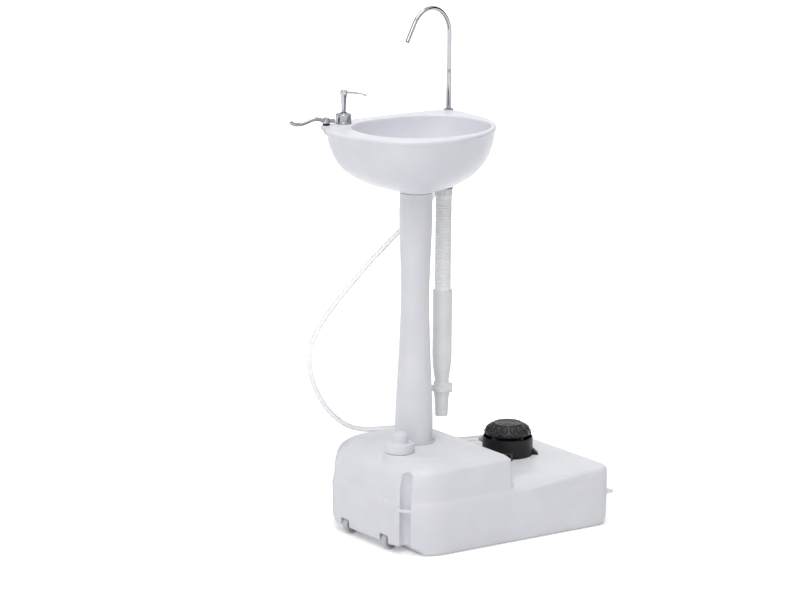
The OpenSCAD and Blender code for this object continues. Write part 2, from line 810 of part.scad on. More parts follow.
module basin()
    color(white)
        difference()
        {
            union()
            {
                hull()
                    for (row = bowl_rows)
                        bowl_slice(neck_z + row[0]*(basin_h - slice_t), row[1]);
                basin_rim();
                translate([drain_x, drain_y, boss_z])
                    cylinder(r = drain_boss_r, h = floor_z - boss_z - 1);
                translate([column_x, 0, neck_z])
                    cylinder(r = neck_r + 1, h = plug_h);
            }
            hull()
                for (row = hollow_rows)
                    hollow_slice(neck_z + row[0]*basin_h, row[1]);
            translate([column_x, 0, neck_z - 1])
                cylinder(r = plug_r + loose_gap, h = plug_h + 1.5);
            translate([drain_x, drain_y, boss_z - 1])
                cylinder(r = flange_body_r + run_gap, h = 60);
            translate([drain_x, drain_y, floor_z - flange_lip])
                cylinder(r = floor_lip_r + loose_gap, h = 40);
            translate([spout_x, spout_y, rim_z - rim_thick - 60])
                cylinder(r = shank_r + 0.2, h = 80);
            translate([bolt_x, bolt_y, rim_z - rim_thick - 1])
                cylinder(r = towel_hole_r + 0.2, h = rim_thick + 2);
            translate([soap_x, soap_y, rim_z - rim_thick - 1])
                cylinder(r = soap_neck_r + loose_gap, h = rim_thick + 2);
            translate([soap_x, soap_y, rim_z - rim_thick - bottle_h - 12])
                cylinder(r = bottle_r + 2, h = bottle_h + 12);
        }

// drain: flange with a grate, gasket and nut
hose_bore = drain_r - 3;
module at_drain()
    translate([drain_x, drain_y, 0])
        children();

nut_z = boss_z - 16;
hose_top = nut_z;
module drain_flange()
    color(chrome)
        at_drain()
            difference()
            {
                rotate_extrude()
                    polygon([[hose_bore - 2.7, hose_top - 24], [hose_bore - 0.2, hose_top - 24],
                        [hose_bore - 0.2, nut_z], [flange_body_r, nut_z],
                        [flange_body_r, floor_z - flange_lip],
                        [floor_lip_r, floor_z - flange_lip], [floor_lip_r, floor_z - 1.5],
                        [floor_lip_r - 2, floor_z], [16, floor_z - 1.2], [12, floor_z - 3], [0, floor_z - 3],
                        [0, floor_z - 6], [10, floor_z - 6], [11, floor_z - 8], [11, nut_z + 6],
                        [hose_bore - 2.7, nut_z + 2]]);
                for (i = [0:7])
                    rotate([0, 0, 45*i])
                        translate([7, 0, floor_z - 7])
                            cylinder(r = 2.1, h = 6, $fn = 24);
                translate([0, 0, floor_z - 8])
                    cylinder(r = 2 + run_gap, h = 8, $fn = 24);
            }

module grate_screw()
    color(chrome)
        at_drain()
        {
            translate([0, 0, floor_z - 9])
                cylinder(r = 2, h = 6, $fn = 24);
            translate([0, 0, floor_z - 3])
                cylinder(r1 = 4, r2 = 3, h = 1.6, $fn = 24);
        }

module drain_gasket()
    color(black)
        at_drain()
            translate([0, 0, boss_z - 2])
                ring(drain_boss_r - 1, flange_body_r + 0.1, 2);

nut_r = flange_body_r + 4;
module drain_nut()
    color(white)
        at_drain()
            translate([0, 0, nut_z])
                difference()
                {
                    cylinder(r = nut_r, h = boss_z - 2 - nut_z);
                    translate([0, 0, -1])
                        cylinder(r = flange_body_r + run_gap, h = 30);
                    for (i = [0:11])
                        rotate([0, 0, 30*i])
                            translate([nut_r + 0.6, 0, -1])
                                cylinder(r = 1.6, h = 30, $fn = 20);
                }

// tube swept along points, one ring of corners at each point
tube_sides = 10;
function unit(v) = v/norm(v);
function heading(p, i) = unit((i == 0 ? p[1] - p[0] : unit(p[i] - p[i - 1])) +
    (i == len(p) - 1 ? [0, 0, 0] : i == 0 ? [0, 0, 0] : unit(p[i + 1] - p[i])));
// the next frame's side keeps the last one's direction as far as it can, so the tube doesn't twist
function sides_along(p, i, last) = i == len(p) ? [] :
    let (t = heading(p, i), s = unit(last - (last*t)*t)) concat([s], sides_along(p, i + 1, s));
module swept_tube(p, radii, sides, first_side)
{
    s = sides_along(p, 0, first_side);
    n = len(p);
    points = [for (i = [0:n - 1]) let (t = heading(p, i), u = cross(t, s[i])) for (j = [0:sides - 1])
        p[i] + radii[i]*(cos(360*j/sides)*s[i] + sin(360*j/sides)*u)];
    walls = [for (i = [0:n - 2]) for (j = [0:sides - 1]) let (k = (j + 1)%sides, a = i*sides, b = a + sides)
        each [[a + j, b + j, b + k], [a + j, b + k, a + k]]];
    near = [for (j = [1:sides - 2]) [0, j, j + 1]];
    far = [for (j = [1:sides - 2]) [(n - 1)*sides, (n - 1)*sides + j + 1, (n - 1)*sides + j]];
    polyhedron(points = points, faces = concat(walls, near, far));
}

// supply hose: from the pump's outlet, up the channel, round in a loop and up to the spout's shank
supply_points = [[102.61, 93.22, 141], [98.6, 105.5, 138.3], [91.3, 116.8, 135.2], [81, 126, 133.4],
    [68, 133, 134], [54, 137, 138], [38, 139, 144], [20, 139.5, 150.5], [0, 140, 157], [-20, 141, 163.5],
    [-42, 142, 169.5], [-62, 143.5, 174], [-84, 147, 176.5], [-108, 149, 177.5], [-140, 151, 180],
    [-172, 152, 189], [-202, 150, 207], [-228, 147, 230], [-250, 144, 257], [-268, 140, 286],
    [-281, 136, 316], [-288, 132, 347], [-286, 127, 379], [-275, 121, 409], [-257, 115, 437],
    [-236, 110, 463], [-213, 105, 489], [-190, 100, 514], [-166, 96, 538], [-141, 92, 561], [-114, 90, 583],
    [-86, 90, 604], [-57, 92, 624], [-28, 97, 643], [0, 105, 662], [23, 114, 684], [35, 121, 712],
    [38, 124, 740]];
// straight ends on the pump's outlet and on the shank; the points between move with them
supply_n = len(supply_points) - 1;
supply_begin = [pump_x + barb_dir.x*hose_start, pump_y + barb_dir.y*hose_start, barb_z];
supply_end = [spout_x, spout_y, shank_bottom];
straight_l = 14.2;
supply_near = supply_begin + straight_l*[barb_dir.x, barb_dir.y, 0];
supply_far = supply_end - [0, 0, straight_l + 0.8];
supply_route = concat([supply_begin], [for (i = [0:supply_n]) supply_points[i]
    + (1 - i/supply_n)*(supply_near - supply_points[0]) + i/supply_n*(supply_far - supply_points[supply_n])],
    [supply_end]);
module supply_hose()
    color("aliceblue")
        swept_tube(supply_route, [for (p = supply_route) supply_r], tube_sides, [0, 0, 1]);

module hose_clips()
    color(chrome)
    {
        difference()
        {
            along_barb(hose_start + 3, hose_start + 11, supply_r + 1.5);
            along_barb(hose_start, hose_start + 15, supply_r + run_gap);
        }
        translate([spout_x, spout_y, shank_bottom - 11])
            ring(supply_r + 1.5, supply_r + run_gap, 8);
    }

// drain hose: ribs are rings that step out and in, round a plain bore
rib_sides = 8;
rib_pitch = ribbed_l/(drain_ribs + 2);
function rib_z(i) = hose_top - rib_pitch - i*rib_pitch/2;
rib_radii = concat([drain_r, drain_r], [for (i = [0:2*drain_ribs - 1]) i % 2 == 0 ? drain_r - 1.8 : drain_r],
    [drain_r - 1.8, drain_r, drain_r]);
rib_levels = concat([hose_top, rib_z(-0.5)], [for (i = [0:2*drain_ribs]) rib_z(i)],
    [rib_z(2*drain_ribs + 0.5), hose_top - ribbed_l]);
module drain_hose()
    color("aliceblue")
        at_drain()
            difference()
            {
                swept_tube([for (z = rib_levels) [0, 0, z]], rib_radii, rib_sides, [1, 0, 0]);
                translate([0, 0, hose_top - ribbed_l - 1])
                    cylinder(r = hose_bore, h = ribbed_l + 2);
            }

sleeve_r = drain_r + 3;
coupling_h = 28;
nozzle_h = 40;
drain_gap = 40;         // height of the drain's open end over the dome
sleeve_top = hose_top - ribbed_l;
sleeve_end = dome_h + drain_gap + nozzle_h + coupling_h;
module drain_sleeve()
    color(white)
        at_drain()
            rotate_extrude()
                polygon([[hose_bore, sleeve_top], [sleeve_r - 1.5, sleeve_top], [sleeve_r, sleeve_top - 2],
                    [sleeve_r, sleeve_end + 55], [sleeve_r - 1, sleeve_end + 35],
                    [hose_bore + 0.8, sleeve_end + 6], [hose_bore + 0.3, sleeve_end],
                    [hose_bore - 1, sleeve_end], [hose_bore, sleeve_end + 20]]);

coupling_z = sleeve_end - coupling_h;
module drain_coupling()
    color(white)
        at_drain()
            difference()
            {
                union()
                {
                    rotate_extrude()
                        polygon([[0, coupling_z], [15.5, coupling_z], [15.5, coupling_z + 10],
                            [20.5, coupling_z + 11], [21, coupling_z + 12], [21, coupling_z + 18],
                            [20.5, coupling_z + 19],
                            [16.5, coupling_z + 20], [16, sleeve_end], [0, sleeve_end]]);
                    translate([12, -2, coupling_z + 4])
                        cube([13, 4, 18]);
                }
                translate([0, 0, coupling_z - 1])
                    cylinder(r = 11, h = coupling_h + 2);
            }

module drain_nozzle()
    color(white)
        at_drain()
            translate([0, 0, coupling_z - nozzle_h])
                rotate_extrude()
                    polygon([[10, 0], [12, 0], [12.5, 1], [14.5, nozzle_h], [11, nozzle_h]]);

// spout and its shank
shank_cap_h = 2;
module at_spout()
    translate([spout_x, spout_y, 0])
        children();

module spout_shank()
    color(chrome)
        at_spout()
            rotate_extrude()
                polygon([[1.5, shank_bottom], [3.2, shank_bottom], [3.2, shank_bottom + 12],
                    [shank_r, shank_bottom + 16], [shank_r, rim_z], [shank_r + 3, rim_z],
                    [shank_r + 2.5, rim_z + shank_cap_h], [spout_r + run_gap, rim_z + shank_cap_h],
                    [spout_r + run_gap, rim_z - 26], [1.5, rim_z - 28]]);

washer_t = 2;
module spout_washer()
    color(black)
        at_spout()
            translate([0, 0, rim_z - rim_thick - washer_t])
                ring(shank_r + 5, shank_r + 0.1, washer_t);

module spout_nut()
    color(chrome)
        at_spout()
            translate([0, 0, rim_z - rim_thick - washer_t - 7])
                difference()
                {
                    cylinder(r = shank_r + 5, h = 7, $fn = 6);
                    translate([0, 0, -1])
                        cylinder(r = shank_r + run_gap, h = 9);
                }

spout_turn = 148;       // how far round the gooseneck bends
spout_aim = 194;        // direction of the gooseneck in plan
tip_l = 38;             // straight stretch after the bend
tip_bore_l = 12;
sleeve_h = 88;          // height of the thicker sleeve at the foot of the riser
spout_sides = 16;
bend_steps = 20;
tube_r = spout_r + 0.1; // corners of the bent tube, round the riser
function neck_point(a) = [spout_bend*(1 - cos(a)), 0, riser_h + spout_bend*sin(a)];
tip_end = neck_point(spout_turn) + tip_l*[sin(spout_turn), 0, cos(spout_turn)];
spout_route = concat([[0, 0, sleeve_h - 10]], [for (i = [0:bend_steps]) neck_point(spout_turn*i/bend_steps)],
    [tip_end]);
module spout()
    color(chrome)
        at_spout()
            translate([0, 0, rim_z])
                difference()
                {
                    union()
                    {
                        translate([0, 0, -25])
                            cylinder(r = spout_r, h = sleeve_h + 20);
                        translate([0, 0, shank_cap_h + loose_gap])
                            cylinder(r1 = spout_r + 1.4, r2 = spout_r + 0.5, h = sleeve_h);
                        rotate([0, 0, spout_aim])
                            swept_tube(spout_route, [for (p = spout_route) tube_r], spout_sides, [0, 1, 0]);
                    }
                    translate([0, 0, -26])
                        cylinder(r = spout_r - 1, h = riser_h);
                    rotate([0, 0, spout_aim])
                        translate(tip_end)
                            rotate([0, spout_turn, 0])
                                translate([0, 0, -tip_bore_l])
                                    cylinder(r = spout_r - 1, h = tip_bore_l + 1);
                }

// soap dispenser
collar_h = 21;
soap_travel = 12;
soap_stem_r = 3;
stem_top = rim_z + collar_h + 10;
module at_soap()
    translate([soap_x, soap_y, 0])
        children();

module soap_collar()
    color(chrome)
        at_soap()
            translate([0, 0, rim_z])
                rotate_extrude()
                    polygon([[soap_neck_r + 0.2, 0], [soap_r, 0], [soap_r, 2.5], [soap_r - 0.5, 3.5],
                        [soap_r - 0.5, collar_h - 3], [soap_r - 1.5, collar_h - 1.8],
                        [soap_r - 3, collar_h - 1.3],
                        [8.5, collar_h - 1], [8.5, collar_h], [6.6, collar_h], [6.6, collar_h - 4],
                        [soap_neck_r + 0.2, collar_h - 7]]);

bottle_r = 14.5;
bottle_h = 50;
bottle_top = rim_z + 12;
module soap_bottle()
    color(white)
        at_soap()
            rotate_extrude()
                polygon([[0, rim_z - rim_thick - bottle_h], [bottle_r - 2, rim_z - rim_thick - bottle_h],
                    [bottle_r, rim_z - rim_thick - bottle_h + 2], [bottle_r, rim_z - rim_thick - 5],
                    [soap_neck_r, rim_z - rim_thick - 1], [soap_neck_r, bottle_top],
                    [soap_neck_r - 2, bottle_top], [soap_neck_r - 2, rim_z - rim_thick - 2],
                    [bottle_r - 1.5, rim_z - rim_thick - 7],
                    [bottle_r - 1.5, rim_z - rim_thick - bottle_h + 3],
                    [0, rim_z - rim_thick - bottle_h + 2]]);

// hand pump in the bottle: a cylinder held under the collar, a piston on a stem, a spring and a dip tube
soap_bore_r = 6.8;
piston_z = rim_z - 12;
spring_z = rim_z - 33;
dip_r = 2.5;
module soap_cylinder()
    color(white)
        at_soap()
            rotate_extrude()
                polygon([[dip_r + run_gap, spring_z - 3], [soap_bore_r + 1.4, spring_z - 3],
                    [soap_bore_r + 1.4, bottle_top], [soap_neck_r - 1, bottle_top],
                    [soap_neck_r - 1, bottle_top + 1.5], [soap_bore_r, bottle_top + 1.5],
                    [soap_bore_r, spring_z], [dip_r + run_gap, spring_z]]);

module soap_stem()
    color(white)
        at_soap()
            translate([0, 0, piston_z])
            {
                cylinder(r = soap_stem_r, h = stem_top - piston_z);
                cylinder(r = soap_bore_r - loose_gap, h = 3);
            }

module soap_spring()
    color(chrome)
        at_soap()
            translate([0, 0, spring_z])
                ring(5, 4, piston_z - spring_z - loose_gap);

dip_z = rim_z - rim_thick - bottle_h + 5;
module soap_dip_tube()
    color(white)
        at_soap()
            translate([0, 0, dip_z])
                ring(dip_r, dip_r - 1, spring_z - 1 - dip_z);

head_h = 44;
head_z = rim_z + collar_h + 0.3;
nozzle_aim = atan2(-soap_y, column_x - soap_x);
nozzle_l = 40;
module soap_head()
    color(chrome)
        at_soap()
            difference()
            {
                union()
                {
                    translate([0, 0, head_z])
                        rotate_extrude()
                            polygon([[0, 0], [4.5, 0], [4.7, 14], [7, head_h - 6], [7, head_h - 1],
                                [6, head_h], [0, head_h]]);
                    rotate([0, 0, nozzle_aim])
                    {
                        translate([4, 0, head_z + head_h - 4])
                            rotate([0, 90, 0])
                                cylinder(r = 2.5, h = nozzle_l - 4);
                        translate([nozzle_l, 0, head_z + head_h - 4])
                            sphere(r = 2.5);
                        translate([nozzle_l, 0, head_z + head_h - 4])
                            rotate([0, 130, 0])
                                cylinder(r1 = 2.5, r2 = 2, h = 9);
                    }
                }
                translate([0, 0, head_z - 1])
                    cylinder(r = soap_stem_r + run_gap, h = stem_top - head_z + 1.3);
            }

// towel bar: an eye on the ear's bolt, a short tail, and a rod that rises, dips and turns up at its tip
bar_z = rim_z + 8;
bar_route = [[18, -1.6, -1], [0, 0, 0], [-9, 1, 2], [-17, 2, 5], [-25, 2.6, 5.6], [-33, 3.4, 4],
    [-42, 4.4, 1], [-51, 5.4, -1.6], [-60, 6.4, -2.4], [-68, 7.2, -1.6], [-74, 7.8, 0.6], [-77, 8, 3.4]];
eye_h = 2*bar_r;
eye_r = 8;
module at_bolt()
    translate([bolt_x, bolt_y, 0])
        children();

module towel_bar()
    color(chrome)
        at_bolt()
            difference()
            {
                union()
                {
                    translate([0, 0, bar_z - eye_h/2])
                        cylinder(r = eye_r, h = eye_h);
                    translate([0, 0, bar_z])
                        swept_tube(bar_route, [for (p = bar_route) bar_r], tube_sides, [0, 0, 1]);
                }
                translate([0, 0, rim_z])
                    cylinder(r = towel_hole_r + run_gap, h = 30);
                for (z = [bar_z + eye_h/2, bar_z - eye_h/2 - 20])
                    translate([0, 0, z])
                        cylinder(r = eye_r, h = 20);
            }

module towel_bush()
    color(black)
        at_bolt()
            translate([0, 0, rim_z])
                ring(7, towel_hole_r + run_gap, bar_z - eye_h/2 - rim_z - loose_gap);

head_under = bar_z + eye_h/2 + loose_gap;
module towel_bolt()
    color(chrome)
        at_bolt()
        {
            translate([0, 0, rim_z - rim_thick - 9])
                cylinder(r = towel_hole_r, h = head_under - rim_z + rim_thick + 9 + eps);
            translate([0, 0, head_under])
                rotate_extrude()
                    polygon([[0, 0], [6.5, 0], [6, 1.5], [3.5, 2.8], [0, 3.2]]);
        }

module towel_nut()
    color(chrome)
        at_bolt()
            translate([0, 0, rim_z - rim_thick - 5])
                difference()
                {
                    cylinder(r = 6, h = 5, $fn = 6);
                    translate([0, 0, -1])
                        cylinder(r = towel_hole_r + run_gap, h = 7);
                }

tank_shell();
axle();
axle_caps();
wheel(-1);  // wheel_left
wheel(1);  // wheel_right
filler_gasket();
filler_cap();
column();
column_seal();
pump_gasket();
pump_base();
pump_screws();
pump_bellows();
pump_spring();
pump_cap();
inlet_valve();
outlet_barb();
outlet_valve();
suction_tube();
suction_strainer();
basin();
drain_flange();
grate_screw();
drain_gasket();
drain_nut();
drain_hose();
drain_sleeve();
drain_coupling();
drain_nozzle();
spout_shank();
spout_washer();
spout_nut();
spout();
supply_hose();
hose_clips();
soap_collar();
soap_bottle();
soap_cylinder();
soap_stem();
soap_spring();
soap_dip_tube();
soap_head();
towel_bar();
towel_bush();
towel_bolt();
towel_nut();
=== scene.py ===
# Portable camp wash stand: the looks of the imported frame.
# Metres, in the frame's own axes: +X towards the foot pump, +Y to the basin's straight back, +Z up.
import json
import math
from functools import partial

import bmesh
import bpy
from mathutils import Matrix, Vector


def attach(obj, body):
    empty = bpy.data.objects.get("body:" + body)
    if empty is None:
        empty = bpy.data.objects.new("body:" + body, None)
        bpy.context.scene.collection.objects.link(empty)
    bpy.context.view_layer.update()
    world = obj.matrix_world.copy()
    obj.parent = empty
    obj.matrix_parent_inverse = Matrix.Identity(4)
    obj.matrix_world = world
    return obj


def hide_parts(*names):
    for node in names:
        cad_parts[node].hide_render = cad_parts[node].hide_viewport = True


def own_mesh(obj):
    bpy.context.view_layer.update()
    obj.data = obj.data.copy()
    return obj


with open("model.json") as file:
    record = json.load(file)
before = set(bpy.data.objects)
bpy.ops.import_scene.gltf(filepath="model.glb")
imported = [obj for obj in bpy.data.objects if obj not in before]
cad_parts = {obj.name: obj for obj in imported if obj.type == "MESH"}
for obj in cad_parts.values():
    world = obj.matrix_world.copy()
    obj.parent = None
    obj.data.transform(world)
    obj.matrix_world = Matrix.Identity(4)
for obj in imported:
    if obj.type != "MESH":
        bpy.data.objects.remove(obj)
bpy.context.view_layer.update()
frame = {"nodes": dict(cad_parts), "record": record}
scene = bpy.context.scene
mm = 0.001  # every dictionary below holds millimetres and degrees, apart from the camera's and the studio's metres
weldGap = 1e-6
print("frame loaded:", len(frame["nodes"]), "nodes")

# camera: standing in front, a little to the left, with a long lens
view = {"azimuth": -35.0576, "pitch": 12.7451, "roll": 0.51266, "place": (-4.5029, -6.1851, 2.1863),
        "lens": 178.75, "sensor": 36, "reach": 60}


def aimCamera():
    azimuth, pitch, roll = (math.radians(view[name]) for name in ("azimuth", "pitch", "roll"))
    back = Vector((math.sin(azimuth) * math.cos(pitch), -math.cos(azimuth) * math.cos(pitch), math.sin(pitch)))
    right = Vector((0, 0, 1)).cross(back).normalized()
    up = back.cross(right)
    turned = Matrix((math.cos(roll) * right + math.sin(roll) * up,
                     math.cos(roll) * up - math.sin(roll) * right, back))
    camera = bpy.data.objects.new("camera", bpy.data.cameras.new("camera"))
    camera.matrix_world = Matrix.Translation(view["place"]) @ turned.transposed().to_4x4()
    camera.data.sensor_width = view["sensor"]
    camera.data.lens = view["lens"]
    camera.data.clip_end = view["reach"]
    scene.collection.objects.link(camera)
    scene.camera = camera


aimCamera()
print("camera placed")


def linear(hexText):
    channels = [int(hexText[i:i + 2], 16) / 255 for i in (1, 3, 5)]
    return [c / 12.92 if c <= 0.04045 else ((c + 0.055) / 1.055) ** 2.4 for c in channels] + [1]


def addNode(tree, kind, settings={}, links={}):
    node = tree.nodes.new(kind)
    for name, value in settings.items():
        if isinstance(name, int) or name in node.inputs:
            node.inputs[name].default_value = value
        else:
            setattr(node, name, value)
    for name, socket in links.items():
        tree.links.new(socket, node.inputs[name])
    return node


def newMaterial(name, surface):
    material = bpy.data.materials.new(name)
    material.use_nodes = True
    tree = material.node_tree
    tree.nodes.clear()
    shader = addNode(tree, "ShaderNodeBsdfPrincipled", surface)
    addNode(tree, "ShaderNodeOutputMaterial", {}, {"Surface": shader.outputs[0]})
    place = addNode(tree, "ShaderNodeTexCoord").outputs["Object"]
    return material, tree, shader, place


def noise(tree, place, scale, detail):
    settings = {"Scale": scale, "Detail": detail}
    return addNode(tree, "ShaderNodeTexNoise", settings, {"Vector": place}).outputs["Fac"]


def mottle(tree, shader, place, size, low, high):  # slow drift between two near colours, size in mm
    ramp = addNode(tree, "ShaderNodeValToRGB", {}, {"Fac": noise(tree, place, 1000 / size, 3.0)})
    for element, position, colour in zip(ramp.color_ramp.elements, (0.3, 0.7), (low, high)):
        element.position, element.color = position, linear(colour)
    tree.links.new(ramp.outputs["Color"], shader.inputs["Base Color"])


def gloss(tree, shader, place, size, low, high):  # roughness that varies between two values, size in mm
    spread = addNode(tree, "ShaderNodeMapRange", {"From Min": 0.3, "From Max": 0.7, "To Min": low, "To Max": high},
                     {"Value": noise(tree, place, 1000 / size, 2.0)})
    tree.links.new(spread.outputs["Result"], shader.inputs["Roughness"])


def relief(tree, shader, height, depth, strength):  # bump, depth in mm
    bump = addNode(tree, "ShaderNodeBump", {"Strength": strength, "Distance": depth * mm}, {"Height": height})
    tree.links.new(bump.outputs["Normal"], shader.inputs["Normal"])


def rotomouldedPolyethylene(name, low, high, rough):
    # white HDPE turned in a hot mould: waxy, with a soft sheen and a faint orange peel of about 4 mm
    material, tree, shader, place = newMaterial(name, {"IOR": 1.52, "Subsurface Weight": 0.12,
                                                       "Subsurface Scale": 0.004})
    mottle(tree, shader, place, 70, low, high)
    gloss(tree, shader, place, 9, rough - 0.05, rough + 0.05)
    relief(tree, shader, noise(tree, place, 250, 1.0), 0.25, 0.25)
    return material


def mouldedRubber():
    # black rubber from a satin mould: soft highlights on its edges, a grain of about 0.8 mm
    material, tree, shader, place = newMaterial("moulded black rubber", {"IOR": 1.5, "Specular IOR Level": 0.3,
                                                                        "Sheen Weight": 0.08})
    mottle(tree, shader, place, 12, "#131316", "#1c1c20")
    gloss(tree, shader, place, 4, 0.3, 0.42)
    relief(tree, shader, noise(tree, place, 1250, 2.0), 0.12, 0.4)
    return material


def mouldedBlackPlastic():
    # glass-filled nylon, injection moulded and lightly spark-eroded: black with a grey bloom
    material, tree, shader, place = newMaterial("injection moulded black nylon", {"IOR": 1.53,
                                                                                 "Specular IOR Level": 0.25})
    mottle(tree, shader, place, 20, "#0e0e10", "#151518")
    gloss(tree, shader, place, 5, 0.38, 0.5)
    relief(tree, shader, noise(tree, place, 1600, 1.0), 0.08, 0.3)
    return material


def chromePlate():
    # bright chrome over polished brass: a mirror with a slight haze of wiping marks
    material, tree, shader, place = newMaterial("polished chrome plate", {"Metallic": 1.0})
    mottle(tree, shader, place, 30, "#9a9c9f", "#a6a8ab")
    gloss(tree, shader, place, 14, 0.05, 0.1)
    return material


def turnedStainless():
    # stainless steel, turned: fine rings left by the tool, about 0.8 mm apart
    material, tree, shader, place = newMaterial("turned stainless steel", {"Metallic": 1.0})
    mottle(tree, shader, place, 8, "#a9abae", "#bcbec1")
    gloss(tree, shader, place, 3, 0.22, 0.34)
    rings = addNode(tree, "ShaderNodeTexWave", {"wave_type": "BANDS", "bands_direction": "Z", "Scale": 400.0,
                                                "Distortion": 0.4}, {"Vector": place})
    relief(tree, shader, rings.outputs["Fac"], 0.02, 0.3)
    return material


def blackenedSteel():
    # screw steel, blackened in hot oil: dark with a dull metal sheen on its worn edges
    material, tree, shader, place = newMaterial("oil-blackened steel", {"Metallic": 0.8})
    mottle(tree, shader, place, 3, "#26262a", "#323237")
    gloss(tree, shader, place, 2, 0.34, 0.48)
    return material


def paleSilicone():
    # silicone seal, compression moulded: off-white, dull and a little dusty
    material, tree, shader, place = newMaterial("compression moulded silicone", {"IOR": 1.43, "Sheen Weight": 0.1})
    mottle(tree, shader, place, 10, "#c9cacf", "#d3d4d9")
    gloss(tree, shader, place, 3, 0.5, 0.62)
    return material


def milkyPlastic(name, low, high, rough):
    # plastic moulded or blown with little pigment: smooth, a little see-through at its edges
    material, tree, shader, place = newMaterial(name, {"IOR": 1.49, "Subsurface Weight": 0.2,
                                                       "Subsurface Scale": 0.003})
    mottle(tree, shader, place, 25, low, high)
    gloss(tree, shader, place, 6, rough - 0.05, rough + 0.05)
    relief(tree, shader, noise(tree, place, 700, 1.0), 0.05, 0.2)
    return material


def extrudedVinyl():
    # soft PVC tube, extruded: cloudy, lets light through, with a faint unevenness
    material, tree, shader, place = newMaterial("extruded clear vinyl", {"IOR": 1.53, "Transmission Weight": 0.65})
    mottle(tree, shader, place, 15, "#f2f4f6", "#f8f9fa")
    gloss(tree, shader, place, 5, 0.3, 0.42)
    relief(tree, shader, noise(tree, place, 500, 1.0), 0.05, 0.2)
    return material


slotMaterials = {
    "white_hdpe": rotomouldedPolyethylene("rotomoulded white polyethylene", "#e0e1e6", "#e6e7eb", 0.42),
    "basin_hdpe": rotomouldedPolyethylene("rotomoulded basin polyethylene", "#dedfe5", "#e5e6eb", 0.34),
    "natural_plastic": milkyPlastic("injection moulded natural polypropylene", "#e2e3e5", "#eaebec", 0.36),
    "grey_plastic": milkyPlastic("injection moulded grey polypropylene", "#bdbec1", "#c8c9cc", 0.45),
    "drain_vinyl": milkyPlastic("blown ribbed vinyl", "#f4f4f7", "#fafafb", 0.4),
    "clear_vinyl": extrudedVinyl(),
    "white_rubber": paleSilicone(),
    "black_rubber": mouldedRubber(),
    "black_plastic": mouldedBlackPlastic(),
    "chrome": chromePlate(),
    "stainless": turnedStainless(),
    "black_steel": blackenedSteel()}
nodeSlots = {part["node"]: part["material_slot"] for part in frame["record"]["subparts"]}
for nodeName, nodeObject in frame["nodes"].items():
    nodeObject.data.materials.clear()
    nodeObject.data.materials.append(slotMaterials[nodeSlots[nodeName]])
print("materials made:", len(slotMaterials))


def finishPiece(name, mesh, replaced, sharpAngle=40):  # replaced: the CAD node that the piece stands for
    for polygon in mesh.polygons:
        polygon.use_smooth = True
    mesh.set_sharp_from_angle(angle=math.radians(sharpAngle))
    mesh.materials.clear()
    mesh.materials.append(slotMaterials[nodeSlots[replaced]])
    piece = bpy.data.objects.new(name, mesh)
    scene.collection.objects.link(piece)
    body = next(b for b, nodes in frame["record"]["behaviour"]["bodies"].items() if replaced in nodes)
    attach(piece, body)
    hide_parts(replaced)
    return piece


def toMesh(name, bm):
    bmesh.ops.remove_doubles(bm, verts=bm.verts, dist=weldGap)
    bmesh.ops.recalc_face_normals(bm, faces=bm.faces)
    mesh = bpy.data.meshes.new(name)
    bm.to_mesh(mesh)
    bm.free()
    return mesh


def applied(name, mesh, modifiers):  # modifiers: a list of (kind, settings), run on the mesh
    carrier = bpy.data.objects.new(name + "Carrier", mesh)
    scene.collection.objects.link(carrier)
    for kind, settings in modifiers:
        modifier = carrier.modifiers.new(kind, kind)
        for setting, value in settings.items():
            setattr(modifier, setting, value)
    evaluated = carrier.evaluated_get(bpy.context.evaluated_depsgraph_get())
    result = bpy.data.meshes.new_from_object(evaluated)
    bpy.data.objects.remove(carrier)
    return result


def spinProfile(bm, profile, centre, rounding=0.5, steps=96):  # profile: radius and height in mm
    corners = [bm.verts.new((centre[0] * mm + r * mm, centre[1] * mm, z * mm)) for r, z in profile]
    closed = not (profile[0][0] == 0 and profile[-1][0] == 0)
    ends = list(zip(corners, corners[1:])) + ([(corners[-1], corners[0])] if closed else [])
    for pair in ends:
        bm.edges.new(pair)
    if rounding:
        offAxis = [v for v, (r, z) in zip(corners, profile) if r > 0]
        bmesh.ops.bevel(bm, geom=offAxis, offset=rounding * mm, segments=3, profile=0.5, affect="VERTICES",
                        clamp_overlap=True, material=-1)
    wire = [e for e in bm.edges if e.is_wire]
    points = list(dict.fromkeys(v for e in wire for v in e.verts))
    bmesh.ops.spin(bm, geom=points + wire, cent=(centre[0] * mm, centre[1] * mm, 0), axis=(0, 0, 1),
                   angle=2 * math.pi, steps=steps, use_merge=True)


def turnedPiece(name, profile, centre, replaced, rounding=0.5, steps=96):
    bm = bmesh.new()
    spinProfile(bm, profile, centre, rounding, steps)
    return finishPiece(name, toMesh(name, bm), replaced)


def tubeMesh(name, points, radius, sides=6, closedEnds=True, order=4):  # points in mm
    curve = bpy.data.curves.new(name, "CURVE")
    curve.dimensions = "3D"
    curve.bevel_depth = radius * mm
    curve.bevel_resolution = sides
    curve.use_fill_caps = closedEnds
    curve.resolution_u = 6
    line = curve.splines.new("NURBS")
    line.points.add(len(points) - 1)
    for point, place in zip(line.points, points):
        point.co = (*(Vector(place) * mm), 1)
    line.order_u = order
    line.use_endpoint_u = True
    holder = bpy.data.objects.new(name + "Curve", curve)
    scene.collection.objects.link(holder)
    mesh = bpy.data.meshes.new_from_object(holder.evaluated_get(bpy.context.evaluated_depsgraph_get()))
    bpy.data.objects.remove(holder)
    return mesh


